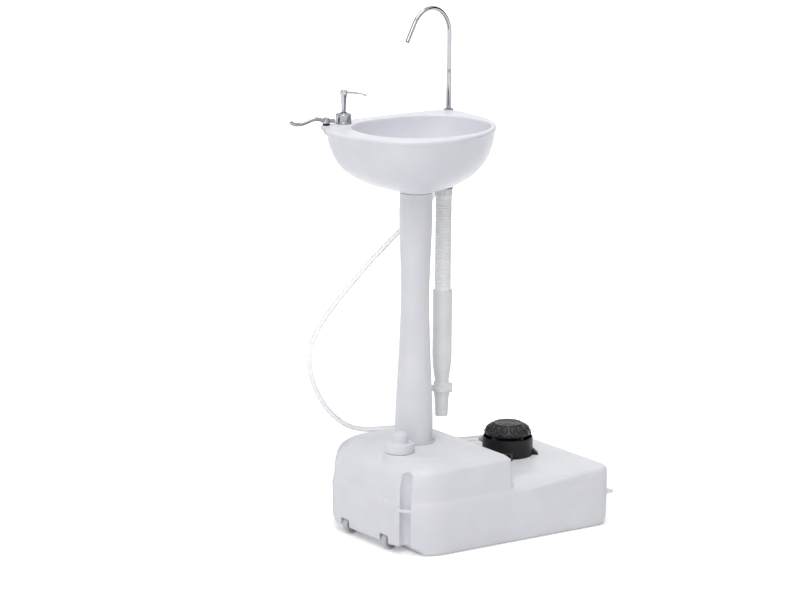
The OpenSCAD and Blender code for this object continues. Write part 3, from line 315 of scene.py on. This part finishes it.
def coilMesh(name, centre, radius, wire, low, high, turns, perTurn=16):
    cx, cy = centre
    steps = turns * perTurn
    points = []
    for i in range(steps + 1):
        angle = 2 * math.pi * i / perTurn
        z = low + wire + (high - low - 2 * wire) * i / steps
        points.append((cx + radius * math.cos(angle), cy + radius * math.sin(angle), z))
    return tubeMesh(name, points, wire, sides=2)


def addCylinder(bm, x, y, low, high, radius, segments=48):  # in mm
    bmesh.ops.create_cone(bm, cap_ends=True, segments=segments, radius1=radius * mm, radius2=radius * mm,
                          depth=(high - low) * mm,
                          matrix=Matrix.Translation((x * mm, y * mm, (low + high) / 2 * mm)))


def addRoundedBox(bm, size, place, rounding, steps=3):  # size and rounding in mm
    box = bmesh.ops.create_cube(bm, size=1, matrix=place @ Matrix.Diagonal((*(Vector(size) * mm), 1)))
    edges = list(dict.fromkeys(e for v in box["verts"] for e in v.link_edges))
    bmesh.ops.bevel(bm, geom=edges, offset=rounding * mm, segments=steps, profile=0.5, affect="EDGES",
                    clamp_overlap=True, material=-1)


def copyOfNode(node):
    bm = bmesh.new()
    bm.from_mesh(frame["nodes"][node].data)
    bmesh.ops.remove_doubles(bm, verts=bm.verts, dist=2 * weldGap)
    return bm


def softenedCopy(name, node, width):  # the CAD piece with its hard edges rounded, width in mm
    bm = copyOfNode(node)
    bmesh.ops.dissolve_limit(bm, angle_limit=math.radians(1.5), verts=bm.verts, edges=bm.edges)
    for face in bm.faces:
        face.smooth = True
    mesh = applied(name, toMesh(name, bm), [
        ("BEVEL", {"width": width * mm, "segments": 2, "limit_method": "ANGLE", "angle_limit": math.radians(38),
                   "loop_slide": True}),
        ("WEIGHTED_NORMAL", {"keep_sharp": True})])
    return finishPiece(name, mesh, node, 60)


# supply hose: it leaves the pump, lies in the tank's channel and loops up to the basin
supply = {"radius": 5.0, "route": [
    (104.83, 79.2, 141), (102.61, 93.22, 141), (98.6, 105.5, 138.3), (91.3, 116.8, 135.2), (81, 126, 133.4),
    (68, 133, 134), (54, 137, 138), (38, 139, 144), (20, 139.5, 150.5), (0, 140, 157), (-20, 141, 163.5),
    (-42, 142, 169.5), (-62, 143.5, 174), (-84, 147, 176.5), (-108, 149, 177.5), (-140, 151, 180),
    (-172, 152, 189), (-202, 150, 207), (-228, 147, 230), (-250, 144, 257), (-268, 140, 286), (-281, 136, 316),
    (-288, 132, 347), (-286, 127, 379), (-275, 121, 409), (-257, 115, 437), (-236, 110, 463), (-213, 105, 489),
    (-190, 100, 514), (-166, 96, 538), (-141, 92, 561), (-114, 90, 583), (-86, 90, 604), (-57, 92, 624),
    (-28, 97, 643), (0, 105, 662), (23, 114, 684), (35, 121, 712), (38, 124, 740), (38, 124, 755)]}


def makeSupplyHose():
    mesh = tubeMesh("supplyHose", supply["route"], supply["radius"], sides=5, order=3)
    hose = finishPiece("supplyHose", mesh, "supply_hose", 60)


# drain hose: ribbed, with a smooth cuff at either end
drain = {"centre": (-57, 5), "top": 675.0, "length": 190.0, "cuff": 8, "ribs": 32, "radius": 16.5, "valley": 15.0,
         "bore": 13.5}


def drainOutline():
    crest, valley, bore, cuff = (drain[name] for name in ("radius", "valley", "bore", "cuff"))
    top, foot = drain["top"], drain["top"] - drain["length"]
    pitch = (drain["length"] - 2 * cuff) / drain["ribs"]
    edge = crest - 0.2
    outline = [(bore, foot), (edge, foot), (edge, foot + cuff - pitch / 4)]
    for i in range(drain["ribs"]):  # each rib rises, crests and falls into its valley
        z = foot + cuff + i * pitch
        outline += [(valley, z), (valley + 0.1, z + pitch * 0.18), (crest - 0.1, z + pitch * 0.4),
                    (crest, z + pitch * 0.55), (edge, z + pitch * 0.75)]
    return outline + [(valley, top - cuff), (edge, top - cuff + 1), (edge, top), (bore, top)]


def makeDrainHose():
    hose = turnedPiece("drainHose", drainOutline(), drain["centre"], "drain_hose", 0, 48)


makeSupplyHose()
makeDrainHose()
print("hoses made")

# tank: the CAD shell filled, remeshed and softened, as the mould's wide corners are
tank = {"voxel": 2.1, "softening": 3, "keep": 0.4,
        "plugs": ((115, 15, 116, 121.8, 64), (-194, -48, 150, 198, 19))}  # x, y, low, high and radius


def makeTank():
    bm = copyOfNode("tank_shell")
    for plug in tank["plugs"]:  # they close the pump's port and the filler's neck, so only the outside is kept
        addCylinder(bm, *plug)
    mesh = bpy.data.meshes.new("tank")
    bm.to_mesh(mesh)
    bm.free()
    mesh = applied("tank", mesh, [
        ("REMESH", {"mode": "VOXEL", "voxel_size": tank["voxel"] * mm}),
        ("SMOOTH", {"factor": 0.5, "iterations": tank["softening"]}),
        ("DECIMATE", {"ratio": tank["keep"]})])
    return finishPiece("tankBody", mesh, "tank_shell", 60)


# what holds the straps: a web across each groove and a lug at each far corner, too thin for the remesh
strap = {"groove": (-149, 70.5), "webTurn": 148, "webOut": 99.2, "webMiddle": 89.5, "web": (5.5, 25, 5),
         "end": (211, 132.5), "lugTurn": 37, "lugOut": 34.5, "lugMiddle": 66.5, "lugThick": 5, "lugRadius": 12.7,
         "lugFlat": 0.87, "lugEdge": 1.4}


def atCorner(side, centre, turn, out, z):  # a place beside one of the tank's corners, facing outwards
    x, y = centre
    return (Matrix.Translation((x * mm, side * y * mm, z * mm)) @ Matrix.Rotation(math.radians(side * turn), 4, "Z")
            @ Matrix.Translation((out * mm, 0, 0)))


def makeStrapHolders():
    for side, end in ((-1, "Front"), (1, "Back")):
        bm = bmesh.new()
        place = atCorner(side, strap["groove"], strap["webTurn"], strap["webOut"], strap["webMiddle"])
        addRoundedBox(bm, strap["web"], place, 1)
        finishPiece("strapWeb" + end, toMesh("strapWeb", bm), "tank_shell")
        bm = bmesh.new()
        place = atCorner(side, strap["end"], strap["lugTurn"], strap["lugOut"], strap["lugMiddle"])
        bmesh.ops.create_cone(bm, cap_ends=True, segments=48, radius1=strap["lugRadius"] * mm,
                              radius2=strap["lugRadius"] * mm, depth=strap["lugThick"] * mm,
                              matrix=place @ Matrix.Diagonal((1, strap["lugFlat"], 1, 1)))
        rims = [e for e in bm.edges if abs(e.verts[0].co.z - e.verts[1].co.z) < weldGap]
        bmesh.ops.bevel(bm, geom=rims, offset=strap["lugEdge"] * mm, segments=3, profile=0.5, affect="EDGES",
                        material=-1)
        finishPiece("strapLug" + end, toMesh("strapLug", bm), "tank_shell")


makeTank()
makeStrapHolders()
print("tank made")

# wheels, with a hub and a tread that stand out from the web between them
wheel = {"x": -229, "y": 67, "z": 18, "radius": 17, "width": 15, "bore": 4.05, "hub": 9, "dish": 3, "tread": 4}


def makeWheels():
    half, radius, bore = wheel["width"] / 2, wheel["radius"], wheel["bore"]
    web, tread = wheel["dish"] - half, radius - wheel["tread"]
    near = [(bore, -half), (wheel["hub"], -half), (wheel["hub"] + 1, web), (tread - 1, web), (tread, -half),
            (radius - 1.5, -half), (radius, 2 - half)]
    outline = near + [(r, -z) for r, z in reversed(near)]
    for side, name in ((-1, "Left"), (1, "Right")):
        bm = bmesh.new()
        spinProfile(bm, outline, (0, 0), 0.6, 64)
        bmesh.ops.transform(bm, verts=bm.verts, matrix=Matrix.Translation(
            (wheel["x"] * mm, side * wheel["y"] * mm, wheel["z"] * mm)) @ Matrix.Rotation(math.radians(90), 4, "X"))
        finishPiece("wheel" + name, toMesh("wheel", bm), "wheel_" + name.lower())


makeWheels()
print("wheels made")

# filler cap, with a gripped knob on a flat flange
filler = {"centre": (-194, -48), "low": 187.1, "skirt": 21.7, "plate": 201.2, "radius": 28.5, "knob": 15.5,
          "top": 226.2, "ribs": 12, "rib": (1.5, 2.6, 13)}


def makeFillerCap():
    low, skirt, plate, top, radius, knob = (filler[name] for name in
                                            ("low", "skirt", "plate", "top", "radius", "knob"))
    cx, cy = filler["centre"]
    bm = bmesh.new()
    spinProfile(bm, [(0, plate), (skirt, plate), (skirt, low), (radius, low), (radius, plate + 2.2),
                     (radius - 0.9, plate + 3), (knob + 2.6, plate + 3.1), (knob + 0.2, plate + 5),
                     (knob - 0.1, top - 6), (knob - 1.4, top - 2.2), (knob - 4.2, top - 0.3), (0, top)],
                (cx, cy), 0.7)
    middle = Matrix.Translation((cx * mm, cy * mm, (plate + filler["rib"][2]) * mm))
    for i in range(filler["ribs"]):
        turn = middle @ Matrix.Rotation(2 * math.pi * i / filler["ribs"], 4, "Z")
        addRoundedBox(bm, filler["rib"], turn @ Matrix.Translation(((knob - 0.45) * mm, 0, 0)), 0.65, 2)
    return finishPiece("fillerCap", toMesh("fillerCap", bm), "filler_cap")


makeFillerCap()
print("filler cap made")

# column, an hourglass with a plug under the basin and another down in the tank
column = {"x": -127, "foot": 190, "neck": 688, "footRadius": 37.5, "waist": 28.3, "neckRadius": 32.5,
          "waistAt": 0.6, "neckAt": 0.92, "wall": 6, "plugWall": 3, "plugUp": 18, "plugDown": 51.5}


def columnRadius(t):
    if t < column["waistAt"]:
        share = (1 + math.cos(math.pi * t / column["waistAt"])) / 2
        return column["waist"] + (column["footRadius"] - column["waist"]) * share
    rise = min((t - column["waistAt"]) / (column["neckAt"] - column["waistAt"]), 1)
    return column["waist"] + (column["neckRadius"] - column["waist"]) * (1 - math.cos(math.pi * rise)) / 2


def makeColumn(steps=40):
    neck, foot, wall = column["neck"], column["foot"], column["wall"]
    plug = column["neckRadius"] - column["plugWall"]
    outside = [(columnRadius(i / steps), foot + (neck - foot) * i / steps) for i in range(steps + 1)]
    inside = [(r - wall, z) for r, z in reversed(outside)]
    bottom = foot - column["plugDown"]
    outline = ([(column["footRadius"], bottom)] + outside
               + [(plug, neck), (plug, neck + column["plugUp"]), (plug - column["plugWall"], neck + column["plugUp"])]
               + inside + [(column["footRadius"] - wall, bottom)])
    return turnedPiece("columnTube", outline, (column["x"], 0), "column", 0, 96)


makeColumn()
print("column made")

# basin: one ring drawn from the neck, up the outside, over the rim and down to the drain, round the column's axis
basin = {"axis": -127, "count": 96, "neck": 688, "height": 129, "right": 180, "left": 175, "front": 148,
         "back": 142, "middle": (-30, 40), "edge": 1.2, "ledge": 20, "ear": (-130, 102, 22),
         "mouthMiddle": (13, -5), "mouthHalf": 137, "mouthFront": 115, "mouthBack": 117, "floorMiddle": (45, 4),
         "floorShare": 0.175, "drain": (70, 5),
         "soapCentre": (-226, 106), "soapBores": ((800, 830, 12.8), (740, 807, 16.5))}  # low, high and radius


def signedPower(value, power):
    return math.copysign(abs(value) ** power, value)


def neckPoint(angle, radius):
    return radius * math.cos(angle), radius * math.sin(angle)


def bowlPoint(angle, share):  # the outside of the bowl at a share of its full size; its left side draws in lower down
    mx, my = basin["middle"]
    left = (basin["left"] + mx - basin["edge"]) * (0.74 + 0.26 * share)
    right = basin["right"] - mx - basin["edge"]
    front, back = basin["front"] + my - basin["edge"], basin["back"] - my - basin["ledge"]
    c, s = math.cos(angle), math.sin(angle)
    return share * (mx + (left if c < 0 else right) * c), share * (my + (front if s < 0 else back) * s)


def rimPoint(angle, inset):  # the outline, with its straight back, square corner and ear
    mx, my = basin["middle"]
    left, right = basin["left"] + mx, basin["right"] - mx
    front, back = basin["front"] + my, basin["back"] - my
    c, s = math.cos(angle), math.sin(angle)
    if s > 0 and c > 0:
        x, y = right * c ** 0.3, back * s ** 0.3
    else:
        x, y = (left if c < 0 else right) * c, (front if s < 0 else back) * s
    reach = math.hypot(x, y)
    ex, ey, er = basin["ear"][0] - mx, basin["ear"][1] - my, basin["ear"][2]
    along = (ex * x + ey * y) / reach
    miss = er * er - (ex * ex + ey * ey - along * along)
    if miss > 0 and along > 0:
        reach = max(reach, along + math.sqrt(miss))
    scale = (reach - inset) / math.hypot(x, y)
    return mx + x * scale, my + y * scale


def mouthPoint(angle, share, grow=0):  # the inside, which moves over to the drain as it shrinks
    c, s = math.cos(angle), math.sin(angle)
    half, front, back = basin["mouthHalf"] + grow, basin["mouthFront"] + grow, basin["mouthBack"] + grow
    if s < 0:
        x, y = half * c, front * s
    else:
        x, y = half * signedPower(c, 0.8), back * signedPower(s, 0.74)
    (mx, my), (fx, fy) = basin["mouthMiddle"], basin["floorMiddle"]
    return share * x + mx * share + fx * (1 - share), share * y + my * share + fy * (1 - share)


def drainPoint(angle, radius):
    x, y = neckPoint(angle, radius)
    return basin["drain"][0] + x, basin["drain"][1] + y


def basinLevels():  # the shape and height of each ring
    neck, high = basin["neck"], basin["height"]
    rim, floor = neck + high, neck + basin["floorShare"] * high
    levels = [(partial(neckPoint, radius=radius), neck + rise) for radius, rise in ((33, 0), (33.4, 2))]
    levels += [(partial(bowlPoint, share=size), neck + share * (high - 0.5)) for share, size in (
        (0.04, 0.31), (0.08, 0.42), (0.135, 0.55), (0.22, 0.68), (0.33, 0.80), (0.48, 0.90), (0.68, 0.962),
        (0.82, 0.985), (0.92, 0.997))]
    levels += [(partial(rimPoint, inset=inset), rim - drop) for inset, drop in (
        (1.2, 9.6), (0.3, 8.2), (0, 6.2), (0.1, 4.4), (0.9, 2.2), (2.7, 0.6), (5.2, 0))]
    levels += [(partial(mouthPoint, share=1, grow=grow), rim - drop) for grow, drop in (
        (5, 0), (2.2, 0.25), (0.6, 1.4), (-0.4, 3.6))]
    levels += [(partial(mouthPoint, share=size), neck + share * high) for share, size in (
        (0.87, 0.98), (0.71, 0.95), (0.56, 0.90), (0.43, 0.83), (0.33, 0.73), (0.25, 0.59), (0.205, 0.43),
        (0.185, 0.33))]
    levels += [(partial(drainPoint, radius=radius), floor - drop) for radius, drop in (
        (27.5, 0), (25.6, 0.1), (25.1, 0.8), (25.0, 3.4), (20, 3.6), (9, 3.6))]
    return levels


def soapCutter(low, high, radius):  # clears the soap dispenser's neck or bottle
    bm = bmesh.new()
    addCylinder(bm, *basin["soapCentre"], low, high, radius, 64)
    cutter = bpy.data.objects.new("soapCutter", toMesh("soapCutter", bm))
    scene.collection.objects.link(cutter)
    return cutter


def makeBasin():
    bm = bmesh.new()
    turn = bm.verts.layers.float.new("turn")  # each vertex keeps its direction as the ring is drawn on
    ring = bmesh.ops.create_circle(bm, segments=basin["count"], radius=1)["verts"]
    for vert in ring:
        vert[turn] = math.atan2(vert.co.y, vert.co.x)
    edges = bm.edges[:]
    bmesh.ops.edgeloop_fill(bm, edges=edges)
    for step, (point, z) in enumerate(basinLevels()):
        if step:
            made = bmesh.ops.extrude_edge_only(bm, edges=edges)["geom"]
            ring = [part for part in made if isinstance(part, bmesh.types.BMVert)]
            edges = [part for part in made if isinstance(part, bmesh.types.BMEdge) and set(part.verts) <= set(ring)]
        for vert in ring:
            x, y = point(vert[turn])
            vert.co = ((basin["axis"] + x) * mm, y * mm, z * mm)
    bmesh.ops.edgeloop_fill(bm, edges=edges)
    cutters = [soapCutter(*bore) for bore in basin["soapBores"]]
    mesh = applied("basin", toMesh("basin", bm), [("SUBSURF", {"levels": 2, "render_levels": 2})] + [
        ("BOOLEAN", {"operation": "DIFFERENCE", "solver": "EXACT", "object": cutter}) for cutter in cutters])
    for cutter in cutters:
        bpy.data.objects.remove(cutter)
    return finishPiece("basinBowl", mesh, "basin", 50)


def makeDrainBoss():
    x, y = basin["axis"] + basin["drain"][0], basin["drain"][1]
    return turnedPiece("drainBoss", [(13.6, 691), (20, 691), (20, 706), (13.6, 706)], (x, y), "basin", 1.2, 64)


makeBasin()
makeDrainBoss()
print("basin made")

# foot pump: a soft cap that slides in the fixed cup, over folded bellows and a spring
pump = {"centre": (115, 15), "floor": 128, "travel": 14, "bellowsTop": 178.2, "folds": 4, "crest": 32.9,
        "valley": 29.7, "bellowsWall": 1.6, "springTop": 184.7, "springRadius": 14.5, "wire": 1.4, "turns": 7,
        "cap": 166, "capTop": 189, "lobes": 16}


def squashWithPump(piece):
    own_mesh(piece)


def makePumpBellows():
    low, high, crest, valley = (pump[name] for name in ("floor", "bellowsTop", "crest", "valley"))
    fold = (high - low) / pump["folds"]
    outside = []
    for i in range(pump["folds"]):
        outside += [(crest, low + i * fold), (crest, low + (i + 0.15) * fold), (valley, low + (i + 0.5) * fold),
                    (crest, low + (i + 0.85) * fold)]
    outside += [(crest, high)]
    inside = [(r - pump["bellowsWall"], z) for r, z in reversed(outside)]
    bellows = turnedPiece("pumpBellows", outside + inside, pump["centre"], "pump_bellows", 0.4)
    squashWithPump(bellows)


def makePumpSpring():
    low, high = pump["floor"], pump["springTop"]
    coil = coilMesh("pumpSpring", pump["centre"], pump["springRadius"], pump["wire"], low, high, pump["turns"])
    squashWithPump(finishPiece("pumpSpring", coil, "pump_spring", 60))


def makePumpCap():
    low, high = pump["cap"], pump["capTop"]
    bm = bmesh.new()
    spinProfile(bm, [(0, high - 4), (22, high - 4), (29, low + 12.6), (35, low + 12.6), (43.3, low + 7.2),
                     (43.3, low + 0.1), (45.6, low + 0.1), (46.3, low + 1.2), (46.1, low + 7.2), (44.3, low + 9.2),
                     (31.2, high - 3.2), (29.8, high - 1.2), (27.6, high), (25.6, high - 0.3), (24.8, high - 1.1),
                     (18.2, high - 1.1), (17.4, high - 0.4), (15.8, high - 0.4), (15.0, high - 1.1),
                     (7, high - 1.1), (6.2, high - 0.5), (0, high - 0.5)], pump["centre"], 0.4)
    x, y = (c * mm for c in pump["centre"])
    raised = ((43.6, low + 3.9, 0, (4.4, 6.0, 3.9), 18),  # grips on the skirt: how far out, height, lean, half sizes
              (38.0, low + 14.2, 38, (8.6, 5.8, 2.9), 18),  # petals on the slope
              (28.4, high - 2.1, 0, (2.5, 3.3, 2.1), 12))  # nubs round the crown
    for i in range(pump["lobes"]):
        turn = Matrix.Translation((x, y, 0)) @ Matrix.Rotation(2 * math.pi * i / pump["lobes"], 4, "Z")
        for out, z, lean, halfSizes, segments in raised:
            place = (turn @ Matrix.Translation((out * mm, 0, z * mm)) @ Matrix.Rotation(math.radians(lean), 4, "Y")
                     @ Matrix.Diagonal((*halfSizes, 1)))
            bmesh.ops.create_uvsphere(bm, u_segments=segments, v_segments=segments * 2 // 3, radius=1 * mm,
                                      matrix=place)
    return finishPiece("pumpCap", toMesh("pumpCap", bm), "pump_cap")


makePumpBellows()
makePumpSpring()
makePumpCap()
softenedCopy("pumpCup", "pump_base", 0.7)
softenedCopy("pumpScrews", "pump_screws", 0.3)
softenedCopy("pumpOutlet", "outlet_barb", 0.4)
print("pump made")

# gooseneck, free to turn in its shank: a tapered sleeve at its foot, a round bend and a straight tip
spout = {"centre": (38, 124), "rim": 817, "radius": 4.3, "bore": 3.25, "shank": 25, "sleeveTop": 90, "bend": 58,
         "riser": 151, "turn": 148, "aim": 194, "tip": 38}


def makeSpout(steps=36):
    cx, cy = spout["centre"]
    rim, bore, bend, riser = (spout[name] for name in ("rim", "bore", "bend", "riser"))
    aim, turn = math.radians(spout["aim"]), math.radians(spout["turn"])
    line = [(0, 70), (0, 100), (0, 130)]  # reach and height in the plane of the bend
    line += [(bend * (1 - math.cos(turn * i / steps)), riser + bend * math.sin(turn * i / steps))
             for i in range(steps + 1)]
    endReach, endHeight = line[-1]
    line += [(endReach + d * math.sin(turn), endHeight + d * math.cos(turn)) for d in (12, 24, spout["tip"])]
    points = [(cx + reach * math.cos(aim), cy + reach * math.sin(aim), rim + height) for reach, height in line]
    bm = bmesh.new()
    bm.from_mesh(tubeMesh("neckTube", points, spout["radius"], sides=10, order=3, closedEnds=False))
    spinProfile(bm, [(bore, rim - spout["shank"]), (4.25, rim - spout["shank"]), (4.25, rim + 2.4), (5.6, rim + 2.4),
                     (5.65, rim + 3.5), (4.55, rim + 72), (4.0, rim + spout["sleeveTop"]),
                     (bore, rim + spout["sleeveTop"])], (cx, cy), 0.3, 64)
    return finishPiece("gooseneck", toMesh("gooseneck", bm), "spout")


makeSpout()
print("spout made")

# soap dispenser: collar, head with its bent nozzle, and the bottle with the pump's spring in it
soap = {"centre": basin["soapCentre"], "rim": 817, "collar": 21, "radius": 16, "head": 838.3, "headHigh": 44,
        "bore": 3.05, "nozzle": 2.5, "aim": -46.96, "neck": 12.5, "neckBore": 10.5, "bottle": 757,
        "bottleRadius": 14.5, "wall": 1.5, "spring": (784, 804.7), "springRadius": 4.5, "wire": 0.5, "turns": 7,
        "travel": 12}


def makeSoapCollar():
    rim, radius, top = soap["rim"], soap["radius"], soap["rim"] + soap["collar"]
    turnedPiece("soapCollar", [(12.7, rim), (radius, rim), (radius, rim + 2.6), (radius - 0.9, rim + 3.6),
                               (radius - 0.9, top - 3.4), (radius - 1.9, top - 2), (radius - 3.6, top - 1.4),
                               (8.7, top - 1.2), (8.5, top), (6.6, top), (6.6, top - 4), (12.7, top - 7)],
                soap["centre"], "soap_collar", 0.35)


def makeSoapHead():
    cx, cy = soap["centre"]
    low, top, bore = soap["head"], soap["head"] + soap["headHigh"], soap["bore"]
    bm = bmesh.new()
    spinProfile(bm, [(bore, low), (4.5, low), (4.5, low + 9), (4.9, low + 18), (5.9, low + 30), (6.9, top - 8),
                     (7, top - 1.4), (6.2, top - 0.2), (0, top), (0, low + 10), (bore, low + 10)], (cx, cy), 0.25, 64)
    aim = math.radians(soap["aim"])
    line = [(3, 4), (12, 4), (22, 3.9), (31, 4), (37, 4.8), (41.6, 6.7), (45.3, 9.2)]  # reach, and drop from the top
    points = [(cx + reach * math.cos(aim), cy + reach * math.sin(aim), top - drop) for reach, drop in line]
    bm.from_mesh(tubeMesh("soapNozzle", points, soap["nozzle"], sides=6, order=3))
    finishPiece("soapHead", toMesh("soapHead", bm), "soap_head")


def makeSoapBottle():
    rim, low, radius, neck, bore, wall = (soap[name] for name in
                                          ("rim", "bottle", "bottleRadius", "neck", "neckBore", "wall"))
    turnedPiece("soapBottle", [(0, low), (radius - 2, low), (radius, low + 2), (radius, rim - 15), (neck, rim - 11),
                               (neck, rim + 12), (bore, rim + 12), (bore, rim - 12), (radius - wall, rim - 17),
                               (radius - wall, low + 3), (0, low + 2)], soap["centre"], "soap_bottle", 0.8, 64)


def makeSoapSpring():
    low, high = soap["spring"]
    coil = coilMesh("soapSpring", soap["centre"], soap["springRadius"], soap["wire"], low, high, soap["turns"])
    spring = finishPiece("soapSpring", coil, "soap_spring", 60)
    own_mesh(spring)


makeSoapCollar()
makeSoapHead()
makeSoapBottle()
makeSoapSpring()
print("soap dispenser made")

# towel bar: a drawn rod that swings on the ear's bolt
towel = {"bolt": (-266, 107), "bore": 3.05, "height": 825, "radius": 4, "eye": 8, "route": [
    (18, -1.6, -1), (9, -0.8, -0.4), (0, 0, 0), (-9, 1, 2), (-17, 2, 5), (-25, 2.6, 5.6), (-33, 3.4, 4),
    (-42, 4.4, 1), (-51, 5.4, -1.6), (-60, 6.4, -2.4), (-68, 7.2, -1.6), (-74, 7.8, 0.6), (-77, 8, 3.4)]}


def makeTowelBar():
    cx, cy = towel["bolt"]
    height, radius, bore, eye = (towel[name] for name in ("height", "radius", "bore", "eye"))
    tail, rod = ([(cx + x, cy + y, height + z) for x, y, z in part] for part in
                 (towel["route"][:2], towel["route"][3:]))
    bm = bmesh.new()
    tail.append((cx + 6.5, cy, height - 0.2))  # the tail and the rod both end in the eye
    rod.insert(0, (cx - 6.5, cy, height + 0.9))
    for points in (tail, rod):
        bm.from_mesh(tubeMesh("towelRod", points, radius, sides=6, order=3))
    spinProfile(bm, [(bore, height - radius), (eye, height - radius), (eye, height + radius),
                     (bore, height + radius)], (cx, cy), 0.9, 48)
    finishPiece("towelBar", toMesh("towelBar", bm), "towel_bar", 50)


# small fittings: copies of the CAD pieces with the edges rounded by this much
fittings = {"axle": 0.3, "axle_caps": 0.5, "column_seal": 0.3, "drain_flange": 0.3, "grate_screw": 0.2,
            "drain_gasket": 0.2, "drain_nut": 0.4, "hose_clips": 0.25, "spout_shank": 0.25, "spout_washer": 0.2,
            "spout_nut": 0.4, "towel_bush": 0.3, "towel_bolt": 0.25, "towel_nut": 0.4}

makeTowelBar()
for node, width in fittings.items():
    first, *rest = node.split("_")
    softenedCopy(first + "".join(word.title() for word in rest), node, width)
print("towel bar and small fittings made")

# studio: a white sweep, a soft room, two large lamps and three dark cards for the chrome; metres from here on
studio = {"floor": 20, "glowFrom": 0.4, "glowTo": 1.8, "glowNear": 0.26, "roomLeft": 0.58, "roomRight": 0.2,
          "right": (0.82, -0.57, 0), "roomTint": (0.97, 0.975, 1, 1), "aim": (-0.05, 0, 0.45),
          "lamps": (("keyLamp", (-4.4, -4.4, 7.0), 4.4, 245), ("topLamp", (0.0, -0.4, 7.5), 5.0, 255)),
          "cards": ((-3.4, -3.0, 40), (3.2, -1.0, -70), (0.5, 3.6, 0)), "cardHeight": 1.2, "cardHalf": (1.1, 1.5)}


def eitherOf(tree, first, second):
    return addNode(tree, "ShaderNodeMath", {"operation": "MAXIMUM"}, {0: first, 1: second}).outputs[0]


def makeFloor():
    mesh = bpy.data.meshes.new("floor")
    bm = bmesh.new()
    bmesh.ops.create_grid(bm, x_segments=1, y_segments=1, size=studio["floor"])
    bm.to_mesh(mesh)
    bm.free()
    floor = bpy.data.objects.new("floor", mesh)
    scene.collection.objects.link(floor)
    paper, tree, shader, place = newMaterial("white paper sweep", {"Roughness": 0.9})
    mottle(tree, shader, place, 400, "#f6f6f7", "#fafafa")
    rays = addNode(tree, "ShaderNodeLightPath").outputs
    seen = eitherOf(tree, rays["Is Camera Ray"], rays["Is Glossy Ray"])
    away = addNode(tree, "ShaderNodeVectorMath", {"operation": "LENGTH"}, {0: place}).outputs["Value"]
    far = addNode(tree, "ShaderNodeMapRange", {"From Min": studio["glowFrom"], "From Max": studio["glowTo"],
                                               "To Min": studio["glowNear"], "To Max": 1.0}, {"Value": away})
    glow = addNode(tree, "ShaderNodeMath", {"operation": "MULTIPLY"}, {0: seen, 1: far.outputs["Result"]})
    tree.links.new(glow.outputs[0], shader.inputs["Emission Strength"])  # the sweep fades to white past the shadow
    shader.inputs["Emission Color"].default_value = (1, 1, 1, 1)
    mesh.materials.append(paper)


def makeRoom():  # white to look at, dimmer as a light, and darker on the right
    world = bpy.data.worlds.new("studio")
    scene.world = world
    world.use_nodes = True
    tree = world.node_tree
    tree.nodes.clear()
    rays = addNode(tree, "ShaderNodeLightPath").outputs
    seen = eitherOf(tree, rays["Is Camera Ray"], rays["Is Glossy Ray"])
    clear = eitherOf(tree, seen, rays["Is Transmission Ray"])
    sky = addNode(tree, "ShaderNodeTexCoord").outputs["Generated"]
    across = addNode(tree, "ShaderNodeVectorMath", {"operation": "DOT_PRODUCT", 1: studio["right"]}, {0: sky})
    fade = addNode(tree, "ShaderNodeMapRange", {"From Min": -1.0, "From Max": 1.0, "To Min": studio["roomLeft"],
                                                "To Max": studio["roomRight"]}, {"Value": across.outputs["Value"]})
    room = addNode(tree, "ShaderNodeBackground", {"Color": studio["roomTint"]}, {"Strength": fade.outputs["Result"]})
    white = addNode(tree, "ShaderNodeBackground", {"Color": (1, 1, 1, 1), "Strength": 1.0})
    mix = addNode(tree, "ShaderNodeMixShader", {}, {0: clear, 1: room.outputs[0], 2: white.outputs[0]})
    addNode(tree, "ShaderNodeOutputWorld", {}, {"Surface": mix.outputs[0]})


def hangLamps():
    for name, place, size, watts in studio["lamps"]:
        lamp = bpy.data.lights.new(name, "AREA")
        lamp.size, lamp.energy = size, watts
        holder = bpy.data.objects.new(name, lamp)
        aim = Vector(studio["aim"]) - Vector(place)
        holder.matrix_world = Matrix.Translation(place) @ aim.to_track_quat("-Z", "Y").to_matrix().to_4x4()
        scene.collection.objects.link(holder)


def makeCards():  # only the chrome mirrors them
    mesh = bpy.data.meshes.new("blackCard")
    bm = bmesh.new()
    upright = Matrix.Rotation(math.radians(90), 4, "X") @ Matrix.Diagonal((*studio["cardHalf"], 1, 1))
    for x, y, turn in studio["cards"]:
        place = Matrix.Translation((x, y, studio["cardHeight"])) @ Matrix.Rotation(math.radians(turn), 4, "Z")
        bmesh.ops.create_grid(bm, x_segments=1, y_segments=1, size=1, matrix=place @ upright)
    bm.to_mesh(mesh)
    bm.free()
    velvet, tree, shader, place = newMaterial("black velvet card", {"Roughness": 1.0, "Specular IOR Level": 0.0})
    mottle(tree, shader, place, 30, "#050505", "#0a0a0a")
    mesh.materials.append(velvet)
    cards = bpy.data.objects.new("blackCard", mesh)
    scene.collection.objects.link(cards)
    cards.visible_camera = cards.visible_diffuse = cards.visible_shadow = cards.visible_transmission = False


makeFloor()
makeRoom()
hangLamps()
makeCards()
scene.view_settings.view_transform = "Standard"
print("studio made")
